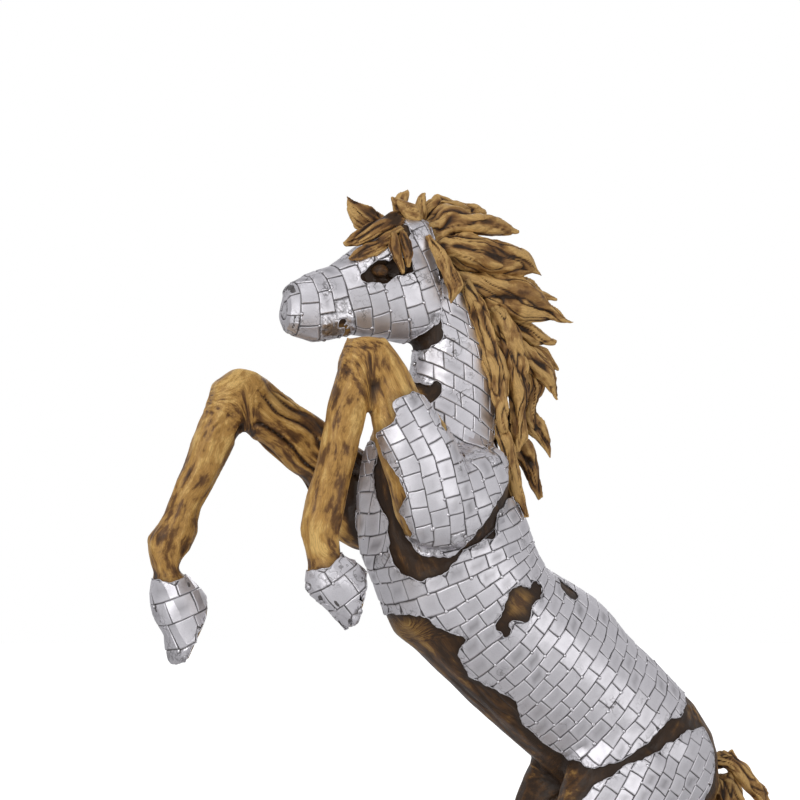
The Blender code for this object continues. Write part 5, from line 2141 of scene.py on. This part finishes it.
# Middle lines of the limbs that steel is wrapped round on both sides of the figure, here on its left.
THIGH = ((5.5, -4.6, 43.0), (1.0, -4.8, 36.0), (-3.8, -5.4, 29.0), (-4.6, -5.6, 23.0))
HIND_HOOF = ((3.2, -5.6, 4.6), (2.0, -5.6, 2.0), (0.9, -5.6, -0.3))


def claddings() -> list[Cladding]:
    """Every patch of steel, with the path that its pieces are wrapped round.

    Returns:
        The patches, in the order in which they are laid.
    """
    head = Wrap(((-42.6, 0, 86.3), (-36.0, 0, 86.5), (-31.3, 0, 88.0), (-26.0, 0, 89.5), (-21.0, 0, 91.6)), reach=0.18,
                blunt=("start",))
    neck = Wrap(((-22.4, 0, 93.0), (-19.9, 0, 83.0), (-20.2, 0, 76.0), (-21.5, 0, 67.0)),
                course=(-0.5, 0.0, -0.866))
    trunk = Wrap(((-22.4, 0, 76.0), (-21.3, 0, 66.0), (-18.6, 0, 58.1), (-15.2, 0, 53.6), (-10.3, 0, 49.6),
                  (-5.1, 0, 45.3), (0.0, 0, 41.0), (4.1, 0, 36.7), (10.0, 0, 29.0)), reach=0.30)
    left_arm = Wrap(((-32.5, -6.7, 80.5), (-27.0, -6.6, 70.0), (-23.6, -6.2, 57.5), (-22.8, -6.1, 54.0)), reach=0.30)
    right_arm = Wrap(((-29.0, 6.6, 77.0), (-22.0, 6.4, 66.0), (-19.5, 6.2, 57.5), (-18.8, 6.1, 54.0)), facing=1.0,
                     reach=0.26)
    hooves = {
        "hoof_cap_front_left": Wrap(((-37.4, -7, 60.6), (-35.4, -7, 57.4), (-29.3, -7, 50.1)), reach=0.2,
                                    blunt=("end",)),
        "hoof_cap_front_right": Wrap(((-49.9, 7, 59.0), (-48.7, 7, 55.4), (-44.9, 7, 46.2)), reach=0.2,
                                     blunt=("end",)),
        "hoof_cap_hind_left": Wrap(HIND_HOOF, reach=0.16),
        "hoof_cap_hind_right": Wrap(mirrored(HIND_HOOF), facing=1.0, reach=0.16),
    }
    arm = {"courses": Courses.LENGTHWISE, "piece_length": 0.046, "piece_width": 0.045, "crumpled": 0.20, "dome": 0.0012}
    thigh = {"courses": Courses.LENGTHWISE, "piece_length": 0.052, "piece_width": 0.042, "crumpled": 0.12}
    hoof = {"piece_length": 0.074, "piece_width": 0.058, "crumpled": 0.30, "nail_share": 0.12}
    return [
        Cladding("head_armour", head, piece_length=0.058, piece_width=0.046, warp=0.006, crumpled=0.44, nail_share=0.30,
                 bare=EYE_OPENING + MOUTH_OPENING, seed=3),
        Cladding("neck_armour", neck, piece_length=0.060, piece_width=0.042, crumpled=0.36,
                 also=((-21.5, -5.0, 72.5, 0.07), (-20.5, -7.0, 70.0, 0.06)), bare=(SHOULDER_GAP,), seed=8),
        Cladding("shoulder_armour_left", left_arm, also=((-23.2, -8.8, 71.8, 0.05), (-21.0, -8.5, 69.5, 0.05)),
                 bare=(SHOULDER_GAP,), seed=5, **arm),
        Cladding("shoulder_armour_right", right_arm, seed=6, **arm),
        Cladding("barrel_armour", trunk, piece_length=0.058, piece_width=0.039, crumpled=0.20, bare=FLANK_OPENING,
                 seed=9),
        Cladding("haunch_armour_left", Wrap(THIGH), seed=12, **thigh),
        Cladding("haunch_armour_right", Wrap(mirrored(THIGH), facing=1.0), seed=13, **thigh),
        *(Cladding(node, wrap, seed=seed, **hoof) for seed, (node, wrap) in enumerate(hooves.items(), 14)),
    ]


def main() -> None:
    """Build and dress every piece."""
    logging.basicConfig(level=logging.INFO, format="%(message)s")
    carved = WoodFinish("stained_carving", size=1.5).make()
    drift = WoodFinish("driftwood", pale=(0.60, 0.37, 0.130), golden=(0.325, 0.172, 0.053), size=1.3, gloss=0.40,
                       relief=0.0028, shade=0.015).make()
    slab = WoodFinish("dark_slab", pale=(0.24, 0.12, 0.04), golden=(0.17, 0.08, 0.025), size=0.8).make()
    plates = SteelFinish("steel_pieces").make()
    sheet = SteelFinish("steel_sheet", roughness=0.27, dent=0.0024, crease=0.0060).make()
    nails = SteelFinish("steel_nails", roughness=0.16, dent=0.0004, crease=0.0002).make()
    body = Carving()
    body.prepare()
    steel = claddings()
    for patch in steel:
        patch.measure(body)
        patch.cover()
    for patch in steel:
        patch.settle(steel)
        patch.build(plates, sheet, nails)
    body.carve([(patch.cad, patch.low, patch.high) for patch in steel], carved)
    for number, node in enumerate(LOCK_NODES):
        Driftwood(node, number + 21, drift, fuller=LOCK_FULLER.get(node, 0.0), darker_by=LOCK_DARKER_BY.get(node, 0.0)).build()
    for side in (-1, 1):
        Eye(side, carved).build(body)
    Base(slab).build()
    Studio().build()


if __name__ == "__main__":
    main()
